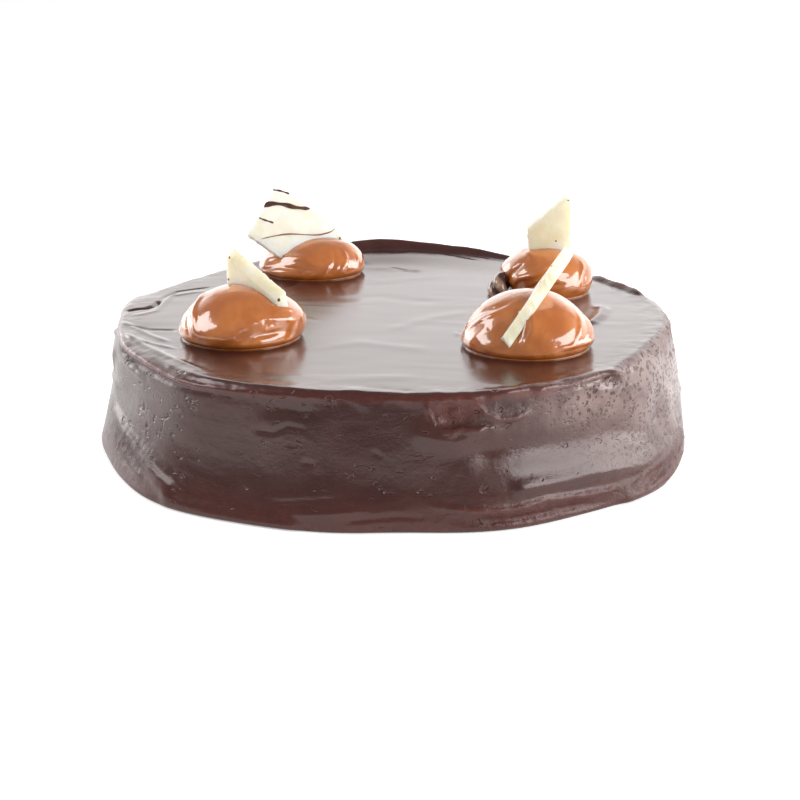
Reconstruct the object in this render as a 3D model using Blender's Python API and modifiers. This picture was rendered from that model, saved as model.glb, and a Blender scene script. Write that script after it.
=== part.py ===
"""Chocolate cake in a ganache coat, with four caramel dollops that each hold a white chocolate shard.

Metres, +Z up. The cake stands on z = 0 and the middle of its box is on the Z axis.
Bearings are degrees about the cake's axis: 0 is +X (right), 90 is the back, 270 is the front.
"""
import math
import random
from dataclasses import dataclass

import bmesh
import bpy
import numpy as np

# Cake body
CAKE_HEIGHT = 0.0466
RIM_RADIUS = 0.1045
FOOT_RADIUS = 0.1132
RIM_ROUND = 0.0026
FOOT_ROUND = 0.0012
CAKE_STEPS = 128
WALL_RINGS = 14
TOP_RING_SHARES = (0.28, 0.56, 0.76, 0.85, 0.91, 0.945)
BOTTOM_RING_SHARES = (0.85, 0.45)
TAPER_MIDDLE = 1.1
TAPER_SWING = 0.45

RIM_ARC_DEGREES = (0, 30, 60, 90)

# Bulges of the outline: bearing, half width (degrees), amount (metres)
RIM_SWELLS = ((232, 11, 0.0034), (266, 10, -0.0026), (337, 10, -0.0020), (8, 12, 0.0018),
              (29, 10, -0.0014), (169, 11, 0.0018), (292, 12, 0.0010), (120, 20, 0.0008))
FOOT_SWELLS = ((226, 14, 0.0040), (271, 10, -0.0026), (292, 11, 0.0018), (324, 15, 0.0036),
               (198, 9, -0.0010), (20, 18, 0.0012), (75, 16, 0.0018), (120, 20, -0.0008),
               (155, 14, 0.0012))
# The rim's height above or below the top: the raised lip at the back, the low stretch at the back left
RIM_RISES = ((92, 17, 0.0046), (68, 11, 0.0026), (146, 12, -0.0026), (26, 5, 0.0022),
             (19, 3, 0.0014), (33, 3, 0.0018), (300, 14, 0.0006), (215, 14, -0.0006))
LIP_START = 0.95
LIP_WIDENING = (96, 15, 0.015)
# The top climbs gently to the back: bearing, half width (degrees), amount (metres), and its reach
BACK_RISE = (92, 30, 0.0024)
BACK_RISE_REACH = (0.72, 0.97)
# Where the knife strokes take hold: shares of the rim's radius, and of the cake's height
RELIEF_REACH = (0.90, 0.99)
RELIEF_LEVEL = (-0.02, 0.02)

# Strokes on the wall: points as (bearing, height in metres), half width, outward amount
WALL_STROKES = (
    (((298, 0.0445), (307, 0.0440), (313, 0.0452), (319, 0.0455)), 0.0026, 0.0016),
    (((312, 0.0405), (316, 0.0400), (318, 0.0425), (316, 0.0448)), 0.0022, 0.0018),
    (((288, 0.0270), (300, 0.0265), (314, 0.0260), (330, 0.0250)), 0.0085, -0.0024),
    (((293, 0.0135), (308, 0.0135), (322, 0.0115), (338, 0.0155)), 0.0028, 0.0014),
    (((316, 0.0020), (326, 0.0040), (332, 0.0075), (342, 0.0110)), 0.0035, 0.0020),
    (((198, 0.0180), (210, 0.0150), (220, 0.0110), (227, 0.0060)), 0.0032, 0.0014),
    (((228, 0.0030), (240, 0.0022), (252, 0.0018)), 0.0030, 0.0010),
    (((276, 0.0330), (281, 0.0310), (288, 0.0335)), 0.0028, 0.0015),
)
# Dents and bulges on the wall: bearing, height, half length, half height, outward amount
WALL_DENTS = ((281, 0.0400, 0.0120, 0.0050, -0.0014), (251, 0.0400, 0.0090, 0.0030, -0.0012),
              (240, 0.0200, 0.0220, 0.0120, -0.0010), (330, 0.0330, 0.0180, 0.0100, 0.0010),
              (205, 0.0320, 0.0140, 0.0100, -0.0008), (262, 0.0070, 0.0260, 0.0060, 0.0014))
# Knife strokes on the side that is turned away, drawn by a seeded rule
BACK_SEED = 11
BACK_STROKES = 12
BACK_BEARINGS = (4, 184)
BACK_STROKE_TURN = (14, 34)
BACK_STROKE_LEVEL = (0.12, 0.86)
BACK_STROKE_DRIFT = (-0.12, 0.12)
BACK_STROKE_AMOUNT = (0.0007, 0.0016)
BACK_STROKE_WIDTH = (0.0026, 0.0048)


@dataclass(frozen=True)
class Dollop:
    """A dollop's place and form, in metres and degrees; waist, base and bulges are shares of its size."""

    middle: tuple
    half_size: tuple
    height: float
    lean: tuple
    dome_power: float
    waist: float
    base: float
    twist: float
    bulges: tuple = ()


@dataclass(frozen=True)
class Shard:
    """A broken plate: its place, its turn and the corners of its two faces.

    The face looks along -Y before it leans back and yaws. A corner is (u, v, step_u, step_v): its place on
    the front face, and the step from there to the same corner of the back face.
    """

    origin: tuple
    yaw: float
    lean: float
    thickness: float
    corners: tuple


# The air between pieces that stand on each other
GAP = 0.0003
WELD = 1.0e-6

# Bulges are (bearing, share of the height, half width in degrees, half height, share of the radius)
DOLLOPS = {
    "front_left": Dollop(
        middle=(-0.0559, -0.0290), half_size=(0.0231, 0.0226), height=0.0187, lean=(0.0006, 0.0008),
        dome_power=1.20, waist=0.12, base=0.94, twist=0.4,
        bulges=((-10, 0.55, 42, 0.30, 0.12), (190, 0.60, 40, 0.25, -0.02), (265, 0.30, 30, 0.25, 0.02))),
    "front_right": Dollop(
        middle=(0.0487, -0.0415), half_size=(0.0243, 0.0236), height=0.0198, lean=(0.0012, 0.0008),
        dome_power=1.35, waist=0.12, base=0.94, twist=1.9,
        bulges=((195, 0.50, 40, 0.28, -0.07), (245, 0.36, 20, 0.30, -0.09), (330, 0.35, 36, 0.25, 0.02))),
    "back_left": Dollop(
        middle=(-0.0338, 0.0700), half_size=(0.0222, 0.0180), height=0.0142, lean=(0.0040, 0.0010),
        dome_power=1.15, waist=0.16, base=0.93, twist=3.1,
        bulges=((10, 0.50, 40, 0.30, 0.05), (215, 0.60, 36, 0.26, -0.08))),
    "back_right": Dollop(
        middle=(0.0622, 0.0388), half_size=(0.0184, 0.0184), height=0.0178, lean=(-0.0004, 0.0004),
        dome_power=1.10, waist=0.26, base=0.93, twist=4.4,
        bulges=((185, 0.62, 46, 0.28, 0.07), (190, 0.06, 46, 0.24, -0.14), (350, 0.62, 40, 0.26, 0.03))),
}
DOLLOP_STEPS = 28
DOME_RINGS = 9
DOME_FULLNESS = 0.35
# Swirl folds: waves round the dollop, turn with height, share
SWIRL_WAVES = ((3, 4.0, 1.0), (2, -2.5, 0.6))
SWIRL_DEPTH = 0.024
SWIRL_START = (0.02, 0.30)
SEAT_MARGIN = 1.30

SHARDS = {
    "front_left": Shard(
        origin=(-0.0610, -0.0240, 0.0745), yaw=-39.4, lean=0, thickness=0.0038,
        corners=((0.0000, 0.0000, 0.0003, 0.0032), (0.0000, -0.0106, 0.0003, 0.0000),
                 (0.0012, -0.0185, 0.0, 0.0), (0.0225, -0.0215, 0.0, 0.0),
                 (0.0262, -0.0170, 0.0010, 0.0004), (0.0246, -0.0121, 0.0012, 0.0026))),
    "front_right": Shard(
        origin=(0.0388, -0.0627, 0.0551), yaw=-101, lean=34, thickness=0.0042,
        corners=((0.0000, 0.0000, 0.0008, -0.0016), (-0.0221, 0.0330, -0.0003, -0.0022),
                 (-0.0300, 0.0322, 0.0, -0.0004), (-0.0290, 0.0060, 0.0, 0.0),
                 (-0.0230, -0.0050, 0.0, 0.0), (-0.0060, -0.0035, 0.0, 0.0))),
    "back_left": Shard(
        origin=(-0.0463, 0.0600, 0.0555), yaw=20, lean=35, thickness=0.0036,
        corners=((0.0000, -0.0005, 0.0005, 0.0004), (0.0110, -0.0062, 0.0, 0.0),
                 (0.0262, -0.0040, 0.0, 0.0), (0.0286, 0.0075, 0.0, 0.0),
                 (0.0180, 0.0195, 0.0006, -0.0003), (0.0099, 0.0274, 0.0004, 0.0),
                 (0.0033, 0.0297, 0.0, 0.0004), (-0.0063, 0.0177, -0.0003, 0.0003),
                 (-0.0120, 0.0110, 0.0004, 0.0006))),
    "back_right": Shard(
        origin=(0.0630, 0.0360, 0.0600), yaw=5, lean=-5, thickness=0.0030,
        corners=((-0.0093, 0.0128, 0.0, 0.0004), (-0.0085, 0.0055, 0.0, 0.0),
                 (-0.0056, -0.0080, 0.0, 0.0), (0.0066, -0.0095, 0.0, 0.0),
                 (0.0085, -0.0020, 0.0, 0.0), (0.0078, 0.0248, 0.0, 0.0004),
                 (0.0054, 0.0246, 0.0, 0.0006))),
}
SHARD_BEVEL = 0.0004
SLOT_GROWTH = 0.0006

# The fold of ganache that stands against the back right dollop
FOLD_CENTRE = (0.0424, 0.0335)
FOLD_HALF_SIZE = (0.0044, 0.0058, 0.0085)
FOLD_SEGMENTS = 16
FOLD_RINGS = 10
FOLD_LEAN = 0.0018

# Colours and roughness
GANACHE = ((0.075, 0.030, 0.022, 1.0), 0.22)
CARAMEL = ((0.420, 0.130, 0.030, 1.0), 0.18)
WHITE_CHOCOLATE = ((0.900, 0.830, 0.620, 1.0), 0.38)


def clear_scene():
    """Remove the objects that the scene starts with."""
    for obj in list(bpy.data.objects):
        bpy.data.objects.remove(obj, do_unlink=True)


def new_collection(name):
    """Add a collection to the scene."""
    collection = bpy.data.collections.new(name)
    bpy.context.scene.collection.children.link(collection)
    return collection


def new_material(name, finish):
    """A Principled material from a (colour, roughness) pair."""
    colour, roughness = finish
    material = bpy.data.materials.new(name)
    material.use_nodes = True
    shader = material.node_tree.nodes["Principled BSDF"]
    shader.inputs["Base Color"].default_value = colour
    shader.inputs["Roughness"].default_value = roughness
    shader.inputs["Metallic"].default_value = 0.0
    return material


def add_object(name, mesh, collection, material=None):
    """Link an object for the mesh, with its material."""
    obj = bpy.data.objects.new(name, mesh)
    collection.objects.link(obj)
    if material is not None:
        mesh.materials.clear()
        mesh.materials.append(material)
    return obj


def turned_mesh(name, profile, steps, collection):
    """Turn a profile of (radius, height) points, listed top to bottom, about the Z axis."""
    bm = bmesh.new()
    points = [bm.verts.new((radius, 0.0, height)) for radius, height in profile]
    for upper, lower in zip(points, points[1:]):
        bm.edges.new((upper, lower))
    outline = bpy.data.meshes.new(name + "_profile")
    bm.to_mesh(outline)
    bm.free()
    guide = add_object(name + "_profile", outline, collection)
    screw = guide.modifiers.new("turn", "SCREW")
    screw.steps = steps
    screw.render_steps = steps
    screw.use_merge_vertices = True
    screw.merge_threshold = 0.00001
    graph = bpy.context.evaluated_depsgraph_get()
    mesh = bpy.data.meshes.new_from_object(guide.evaluated_get(graph))
    mesh.name = name
    bpy.data.objects.remove(guide, do_unlink=True)
    return mesh


def read_points(mesh):
    """The mesh's points as an array of rows x, y, z."""
    flat = np.empty(len(mesh.vertices) * 3, dtype=np.float64)
    mesh.vertices.foreach_get("co", flat)
    return flat.reshape(-1, 3)


def write_points(mesh, points):
    """Move the mesh's points to the rows of an array."""
    mesh.vertices.foreach_set("co", points.astype(np.float32).ravel())
    mesh.update()


def smooth_step(low, high, value):
    """0 below low, 1 above high, and a smooth ramp between."""
    share = np.clip((value - low) / (high - low), 0.0, 1.0)
    return share * share * (3.0 - 2.0 * share)


def bearing_of(x, y):
    """Bearings about the cake's axis, in degrees."""
    return np.degrees(np.arctan2(y, x)) % 360.0


def swell_sum(bearing, swells):
    """Sum of smooth bulges round the cake."""
    total = np.zeros_like(bearing)
    for middle, half_width, amount in swells:
        away = (bearing - middle + 180.0) % 360.0 - 180.0
        total += amount * np.exp(-(away / half_width) ** 2)
    return total


def stroke_share(across, up, points, half_width):
    """How much of a stroke along the points reaches each place: 1 on its line, fading to 0 beside it."""
    nearest = np.full_like(across, 1.0e9)
    for (x0, y0), (x1, y1) in zip(points, points[1:]):
        run_x = x1 - x0
        run_y = y1 - y0
        share = ((across - x0) * run_x + (up - y0) * run_y) / (run_x * run_x + run_y * run_y)
        share = np.clip(share, 0.0, 1.0)
        away = np.hypot(across - x0 - share * run_x, up - y0 - share * run_y)
        nearest = np.minimum(nearest, away)
    return np.exp(-(nearest / half_width) ** 2)


def wall_relief(bearing, height):
    """Outward step of the coat on the wall, in metres."""
    relief = np.zeros_like(bearing)
    for points, half_width, amount in WALL_STROKES + back_strokes():
        middle = points[len(points) // 2][0]
        away = (bearing - middle + 180.0) % 360.0 - 180.0
        across = np.radians(away) * RIM_RADIUS
        line = [(math.radians(turn - middle) * RIM_RADIUS, level) for turn, level in points]
        relief += amount * stroke_share(across, height, line, half_width)
    for middle, level, half_length, half_height, amount in WALL_DENTS:
        away = (bearing - middle + 180.0) % 360.0 - 180.0
        across = np.radians(away) * RIM_RADIUS
        relief += amount * np.exp(-(across / half_length) ** 2 - ((height - level) / half_height) ** 2)
    return relief


def back_strokes():
    """Knife strokes on the far side, the same ones each time."""
    draw = random.Random(BACK_SEED)
    strokes = []
    first, last = BACK_BEARINGS
    for index in range(BACK_STROKES):
        turn = first + (last - first) * (index + draw.random()) / BACK_STROKES
        half = draw.uniform(*BACK_STROKE_TURN) / 2
        level = draw.uniform(*BACK_STROKE_LEVEL) * CAKE_HEIGHT
        drift = draw.uniform(*BACK_STROKE_DRIFT) * CAKE_HEIGHT
        amount = draw.uniform(*BACK_STROKE_AMOUNT) * draw.choice((-1.0, 1.0))
        line = ((turn - half, level - drift), (turn, level + drift / 2), (turn + half, level + drift))
        strokes.append((line, draw.uniform(*BACK_STROKE_WIDTH), amount))
    return tuple(strokes)


def wall_radius(bearing, height):
    """Radius of the cake's side: a rim, a wider foot and a taper that changes round the cake."""
    rim = RIM_RADIUS + swell_sum(bearing, RIM_SWELLS)
    foot = FOOT_RADIUS + swell_sum(bearing, FOOT_SWELLS)
    drop = np.clip(1.0 - height / CAKE_HEIGHT, 0.0, 1.0)
    taper = TAPER_MIDDLE - TAPER_SWING * np.cos(np.radians(bearing))
    return rim + (foot - rim) * drop ** taper


def cake_profile():
    """Half section of the plain turned cake: top, rounded rim, wall, foot and base."""
    profile = [(0.0, CAKE_HEIGHT)]
    profile += [(share * RIM_RADIUS, CAKE_HEIGHT) for share in TOP_RING_SHARES]
    for degrees in RIM_ARC_DEGREES:
        turn = math.radians(degrees)
        profile.append((RIM_RADIUS - RIM_ROUND * (1.0 - math.sin(turn)),
                        CAKE_HEIGHT - RIM_ROUND * (1.0 - math.cos(turn))))
    wall_top = CAKE_HEIGHT - RIM_ROUND
    for ring in range(1, WALL_RINGS + 1):
        profile.append((RIM_RADIUS, wall_top + (FOOT_ROUND - wall_top) * ring / WALL_RINGS))
    profile.append((RIM_RADIUS - FOOT_ROUND, 0.0))
    profile += [(share * RIM_RADIUS, 0.0) for share in BOTTOM_RING_SHARES]
    profile.append((0.0, 0.0))
    return profile


def seat_share(x, y):
    """0 on the flat seats under the dollops and 1 away from them."""
    share = np.ones_like(x)
    for dollop in DOLLOPS.values():
        across = (x - dollop.middle[0]) / dollop.half_size[0]
        along = (y - dollop.middle[1]) / dollop.half_size[1]
        away = np.hypot(across, along)
        share = np.minimum(share, smooth_step(1.0, SEAT_MARGIN, away))
    return share


def shape_cake(points):
    """Give the plain turned cake its uneven outline, raised back and lip, and knife strokes."""
    x, y, z = points.T
    bearing = bearing_of(x, y)
    reach = np.hypot(x, y) / RIM_RADIUS
    level = z / CAKE_HEIGHT
    start = LIP_START - swell_sum(bearing, (LIP_WIDENING,))
    lip = smooth_step(start, 1.0, reach) * seat_share(x, y)
    radius = reach * wall_radius(bearing, z)
    grip = smooth_step(*RELIEF_REACH, reach) * smooth_step(*RELIEF_LEVEL, level)
    radius += grip * wall_relief(bearing, z)
    turn = np.radians(bearing)
    slope = smooth_step(*BACK_RISE_REACH, reach) * seat_share(x, y)
    rise = lip * swell_sum(bearing, RIM_RISES) + slope * swell_sum(bearing, (BACK_RISE,))
    height = z + level * rise
    return np.stack((radius * np.cos(turn), radius * np.sin(turn), height), axis=1)


def make_cake(collection, material):
    """The cake with its coat, one solid with a flat base."""
    mesh = turned_mesh("cake", cake_profile(), CAKE_STEPS, collection)
    write_points(mesh, shape_cake(read_points(mesh)))
    mesh.shade_smooth()
    return add_object("cake", mesh, collection, material)


def dollop_profile(dollop):
    """Half section of a dollop of unit radius and height: dome, waist, undercut and flat base."""
    profile = []
    for ring in range(DOME_RINGS + 1):
        turn = math.pi / 2 * ring / DOME_RINGS
        level = abs(math.cos(turn))
        rise = DOME_FULLNESS * level + (1.0 - DOME_FULLNESS) * level ** dollop.dome_power
        profile.append((math.sin(turn), dollop.waist + (1.0 - dollop.waist) * rise))
    for share in (0.5, 1.0):
        profile.append((1.0 - (1.0 - dollop.base) * share ** 2, dollop.waist * (1.0 - share)))
    profile += [(dollop.base / 2, 0.0), (0.0, 0.0)]
    return profile


def shape_dollop(points, dollop):
    """Give a turned dollop of unit size its bulges, its swirl, its lean and its real size."""
    x, y, z = points.T
    angle = np.arctan2(y, x)
    fold = np.zeros_like(z)
    for order, (waves, turn, share) in enumerate(SWIRL_WAVES, start=1):
        fold += share * np.sin(waves * angle + turn * z + order * dollop.twist)
    spread = 1.0 + SWIRL_DEPTH * fold * smooth_step(*SWIRL_START, z)
    for bearing, level, half_width, half_height, amount in dollop.bulges:
        away = (np.degrees(angle) - bearing + 180.0) % 360.0 - 180.0
        spread += amount * np.exp(-(away / half_width) ** 2 - ((z - level) / half_height) ** 2)
    return np.stack((x * spread * dollop.half_size[0] + dollop.lean[0] * z * z,
                     y * spread * dollop.half_size[1] + dollop.lean[1] * z * z,
                     z * dollop.height), axis=1)


def make_dollop(place, collection, material):
    """A spooned dollop of caramel with a soft swirl, standing on the cake's top."""
    dollop = DOLLOPS[place]
    name = "caramel_" + place
    mesh = turned_mesh(name, dollop_profile(dollop), DOLLOP_STEPS, collection)
    write_points(mesh, shape_dollop(read_points(mesh), dollop))
    mesh.shade_smooth()
    solid = add_object(name, mesh, collection, material)
    solid.location = (*dollop.middle, CAKE_HEIGHT + GAP)
    return solid


def shard_mesh(name, thickness, corners):
    """A broken plate: a front outline lofted to a back outline that differs a little at each corner."""
    bm = bmesh.new()
    front = [bm.verts.new((u, 0.0, v)) for u, v, _, _ in corners]
    face = bm.faces.new(front)
    grown = bmesh.ops.extrude_face_region(bm, geom=[face], use_keep_orig=True)
    back = [vert for vert in grown["geom"] if isinstance(vert, bmesh.types.BMVert)]
    for vert in back:
        for u, v, step_u, step_v in corners:
            if math.hypot(vert.co.x - u, vert.co.z - v) < WELD:
                vert.co = (u + step_u, thickness, v + step_v)
                break
    bmesh.ops.bevel(bm, geom=bm.edges[:], offset=SHARD_BEVEL, segments=1, profile=0.5, affect="EDGES")
    bmesh.ops.recalc_face_normals(bm, faces=bm.faces[:])
    mesh = bpy.data.meshes.new(name)
    bm.to_mesh(mesh)
    bm.free()
    return mesh


def make_shard(place, collection, material):
    """A white chocolate shard, tipped back by its lean and turned by its yaw."""
    shard = SHARDS[place]
    name = "shard_" + place
    solid = add_object(name, shard_mesh(name, shard.thickness, shard.corners), collection, material)
    solid.location = shard.origin
    solid.rotation_euler = (-math.radians(shard.lean), 0.0, math.radians(shard.yaw))
    return solid


def make_fold(collection, material):
    """The fold of ganache pushed up beside the back right dollop."""
    bm = bmesh.new()
    bmesh.ops.create_uvsphere(bm, u_segments=FOLD_SEGMENTS, v_segments=FOLD_RINGS, radius=1.0)
    half_x, half_y, height = FOLD_HALF_SIZE
    for vert in bm.verts:
        x, y, z = vert.co
        up = max(z, 0.0)
        vert.co = (x * half_x + FOLD_LEAN * up, y * half_y, up * height)
    bmesh.ops.remove_doubles(bm, verts=bm.verts[:], dist=WELD)
    floor = [face for face in bm.faces if all(vert.co.z < WELD for vert in face.verts)]
    bmesh.ops.dissolve_faces(bm, faces=floor)
    bmesh.ops.recalc_face_normals(bm, faces=bm.faces[:])
    mesh = bpy.data.meshes.new("ganache_fold")
    bm.to_mesh(mesh)
    bm.free()
    fold = add_object("ganache_fold", mesh, collection, material)
    fold.location = (FOLD_CENTRE[0], FOLD_CENTRE[1], CAKE_HEIGHT + GAP)
    return fold


def cut_clear(target, source, growth, cutters):
    """Cut the target with a copy of the source that is larger by the growth at its corners."""
    cutter = bpy.data.objects.new(source.name + "_cutter", source.data.copy())
    cutters.objects.link(cutter)
    cutter.location = source.location
    cutter.rotation_euler = source.rotation_euler
    cutter.parent = source.parent
    cutter.hide_render = True
    cutter.display_type = "WIRE"
    swell = cutter.modifiers.new("growth", "DISPLACE")
    swell.strength = growth
    swell.mid_level = 0.0
    cut = target.modifiers.new("clear of " + source.name, "BOOLEAN")
    cut.operation = "DIFFERENCE"
    cut.solver = "EXACT"
    cut.object = cutter


def main():
    """Build the cake, its dollops and shards, and centre them on the origin."""
    clear_scene()
    parts = new_collection("chocolate_cake")
    cutters = new_collection("cutters")
    ganache = new_material("ganache", GANACHE)
    caramel = new_material("caramel", CARAMEL)
    white = new_material("white_chocolate", WHITE_CHOCOLATE)

    centre = bpy.data.objects.new("cake_centre", None)
    parts.objects.link(centre)
    cake = make_cake(parts, ganache)
    cake.parent = centre
    points = read_points(cake.data)
    middle = (points.min(axis=0) + points.max(axis=0)) / 2
    centre.location = (-middle[0], -middle[1], 0.0)

    fold = make_fold(parts, ganache)
    fold.parent = centre
    for place in DOLLOPS:
        dollop = make_dollop(place, parts, caramel)
        dollop.parent = centre
        shard = make_shard(place, parts, white)
        shard.parent = centre
        cut_clear(dollop, shard, SLOT_GROWTH, cutters)
        if place == "back_right":
            cut_clear(fold, dollop, GAP, cutters)


main()
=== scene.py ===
import logging
import math
import random
from dataclasses import dataclass
from enum import Enum
from typing import Any, Dict, List, Optional, Sequence, Tuple, Union

import bmesh
import bpy
import numpy as np
from mathutils import Euler, Matrix, Vector, noise

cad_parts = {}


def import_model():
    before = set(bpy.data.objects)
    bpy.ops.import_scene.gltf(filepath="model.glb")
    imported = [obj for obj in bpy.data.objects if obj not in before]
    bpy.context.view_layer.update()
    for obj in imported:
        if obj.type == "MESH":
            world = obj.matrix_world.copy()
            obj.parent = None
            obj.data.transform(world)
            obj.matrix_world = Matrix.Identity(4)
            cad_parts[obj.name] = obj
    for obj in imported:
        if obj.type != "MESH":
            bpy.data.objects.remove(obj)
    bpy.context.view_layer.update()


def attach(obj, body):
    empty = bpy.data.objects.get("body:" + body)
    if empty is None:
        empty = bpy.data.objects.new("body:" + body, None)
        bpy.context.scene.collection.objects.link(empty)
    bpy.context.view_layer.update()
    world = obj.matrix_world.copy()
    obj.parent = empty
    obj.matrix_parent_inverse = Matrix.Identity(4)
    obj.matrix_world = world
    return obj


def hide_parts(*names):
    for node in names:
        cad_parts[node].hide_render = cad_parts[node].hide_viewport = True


# Metres, +Z up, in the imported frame. Bearings are degrees about the cake's axis: 0 is +X (the
# right), 90 is the back, 270 is the front. Relief is drawn in millimetres and turned into metres.

log = logging.getLogger("chocolate_cake")

MM = 0.001
TOUCH_GAP = 0.3 * MM
BODY = "root"

Pair = Tuple[float, float]
Triple = Tuple[float, float, float]
Colour = Triple
Feed = Union[float, Sequence[float], bpy.types.NodeSocket]


class Place(Enum):
    """The four places of a dollop and its shard, by the name that their CAD nodes end in."""

    FRONT_LEFT = "front_left"
    FRONT_RIGHT = "front_right"
    BACK_LEFT = "back_left"
    BACK_RIGHT = "back_right"


class Slot(Enum):
    """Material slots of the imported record."""

    GANACHE = "ganache"
    CARAMEL = "caramel"
    WHITE_CHOCOLATE = "white_chocolate"


@dataclass(frozen=True)
class Swell:
    """A smooth bulge round the cake: where it is, how wide, and how much, in degrees and millimetres."""

    bearing: float
    half_width: float
    amount: float


@dataclass(frozen=True)
class Stroke:
    """A ridge (amount above 0) or groove along points, in millimetres; on a wall x is a bearing.

    Taper is the share of its length over which it fades out at each end.
    """

    points: Tuple[Pair, ...]
    half_width: float
    amount: float
    taper: float = 0.0


@dataclass(frozen=True)
class Patch:
    """A soft patch of the wall: bearing, height and half sizes in millimetres, with an amount."""

    bearing: float
    height: float
    half_length: float
    half_height: float
    amount: float = 1.0


@dataclass(frozen=True)
class Sector:
    """A soft sector of the top: middle and half width in degrees, and the reach where it fades in."""

    bearing: float
    half_width: float
    start: float
    full: float

    def share(self, bearing: np.ndarray, reach: np.ndarray) -> np.ndarray:
        """How much each place belongs to the sector, from 0 to 1."""
        away = turn_between(bearing, self.bearing) / self.half_width
        return np.exp(-away ** 2) * smooth_step(self.start, self.full, reach)


@dataclass(frozen=True)
class Lumps:
    """Uneven relief: depth in millimetres, waves per metre along each axis, a seed and octaves."""

    depth: float
    scale: Triple
    seed: float
    octaves: int = 3

    def at(self, points: np.ndarray) -> np.ndarray:
        """The relief at each point, in metres."""
        return self.depth * MM * grain(points, self.scale, self.seed, self.octaves)


# The coat's main shape, the same as in the CAD
RIM_SWELLS = (
    Swell(232, 11, 3.4), Swell(266, 10, -2.6), Swell(337, 10, -2.0), Swell(8, 12, 1.8),
    Swell(29, 10, -1.4), Swell(169, 11, 1.8), Swell(292, 12, 1.0), Swell(120, 20, 0.8))
FOOT_SWELLS = (
    Swell(226, 14, 4.0), Swell(271, 10, -2.6), Swell(292, 11, 1.8), Swell(324, 15, 3.6),
    Swell(198, 9, -1.0), Swell(20, 18, 1.2), Swell(75, 16, 1.8), Swell(120, 20, -0.8),
    Swell(155, 14, 1.2))
RIM_RISES = (
    Swell(92, 17, 4.6), Swell(68, 11, 2.6), Swell(146, 12, -2.6), Swell(26, 5, 2.2),
    Swell(19, 3, 1.4), Swell(33, 3, 1.8), Swell(300, 14, 0.6), Swell(215, 14, -0.6))
WALL_STROKES = (
    Stroke(((298, 44.5), (307, 44.0), (313, 45.2), (319, 45.5)), 2.6, 1.6),
    Stroke(((312, 40.5), (316, 40.0), (318, 42.5), (316, 44.8)), 2.2, 1.8),
    Stroke(((288, 27.0), (300, 26.5), (314, 26.0), (330, 25.0)), 8.5, -2.4),
    Stroke(((293, 13.5), (308, 13.5), (322, 11.5), (338, 15.5)), 2.8, 1.4),
    Stroke(((316, 2.0), (326, 4.0), (332, 7.5), (342, 11.0)), 3.5, 2.0),
    Stroke(((198, 18.0), (210, 15.0), (220, 11.0), (227, 6.0)), 3.2, 1.4),
    Stroke(((228, 3.0), (240, 2.2), (252, 1.8)), 3.0, 1.0),
    Stroke(((276, 33.0), (281, 31.0), (288, 33.5)), 2.8, 1.5))
WALL_DENTS = (
    Patch(281, 40.0, 12.0, 5.0, -1.4), Patch(251, 40.0, 9.0, 3.0, -1.2),
    Patch(240, 20.0, 22.0, 12.0, -1.0), Patch(330, 33.0, 18.0, 10.0, 1.0),
    Patch(205, 32.0, 14.0, 10.0, -0.8), Patch(262, 7.0, 26.0, 6.0, 1.4))

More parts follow.
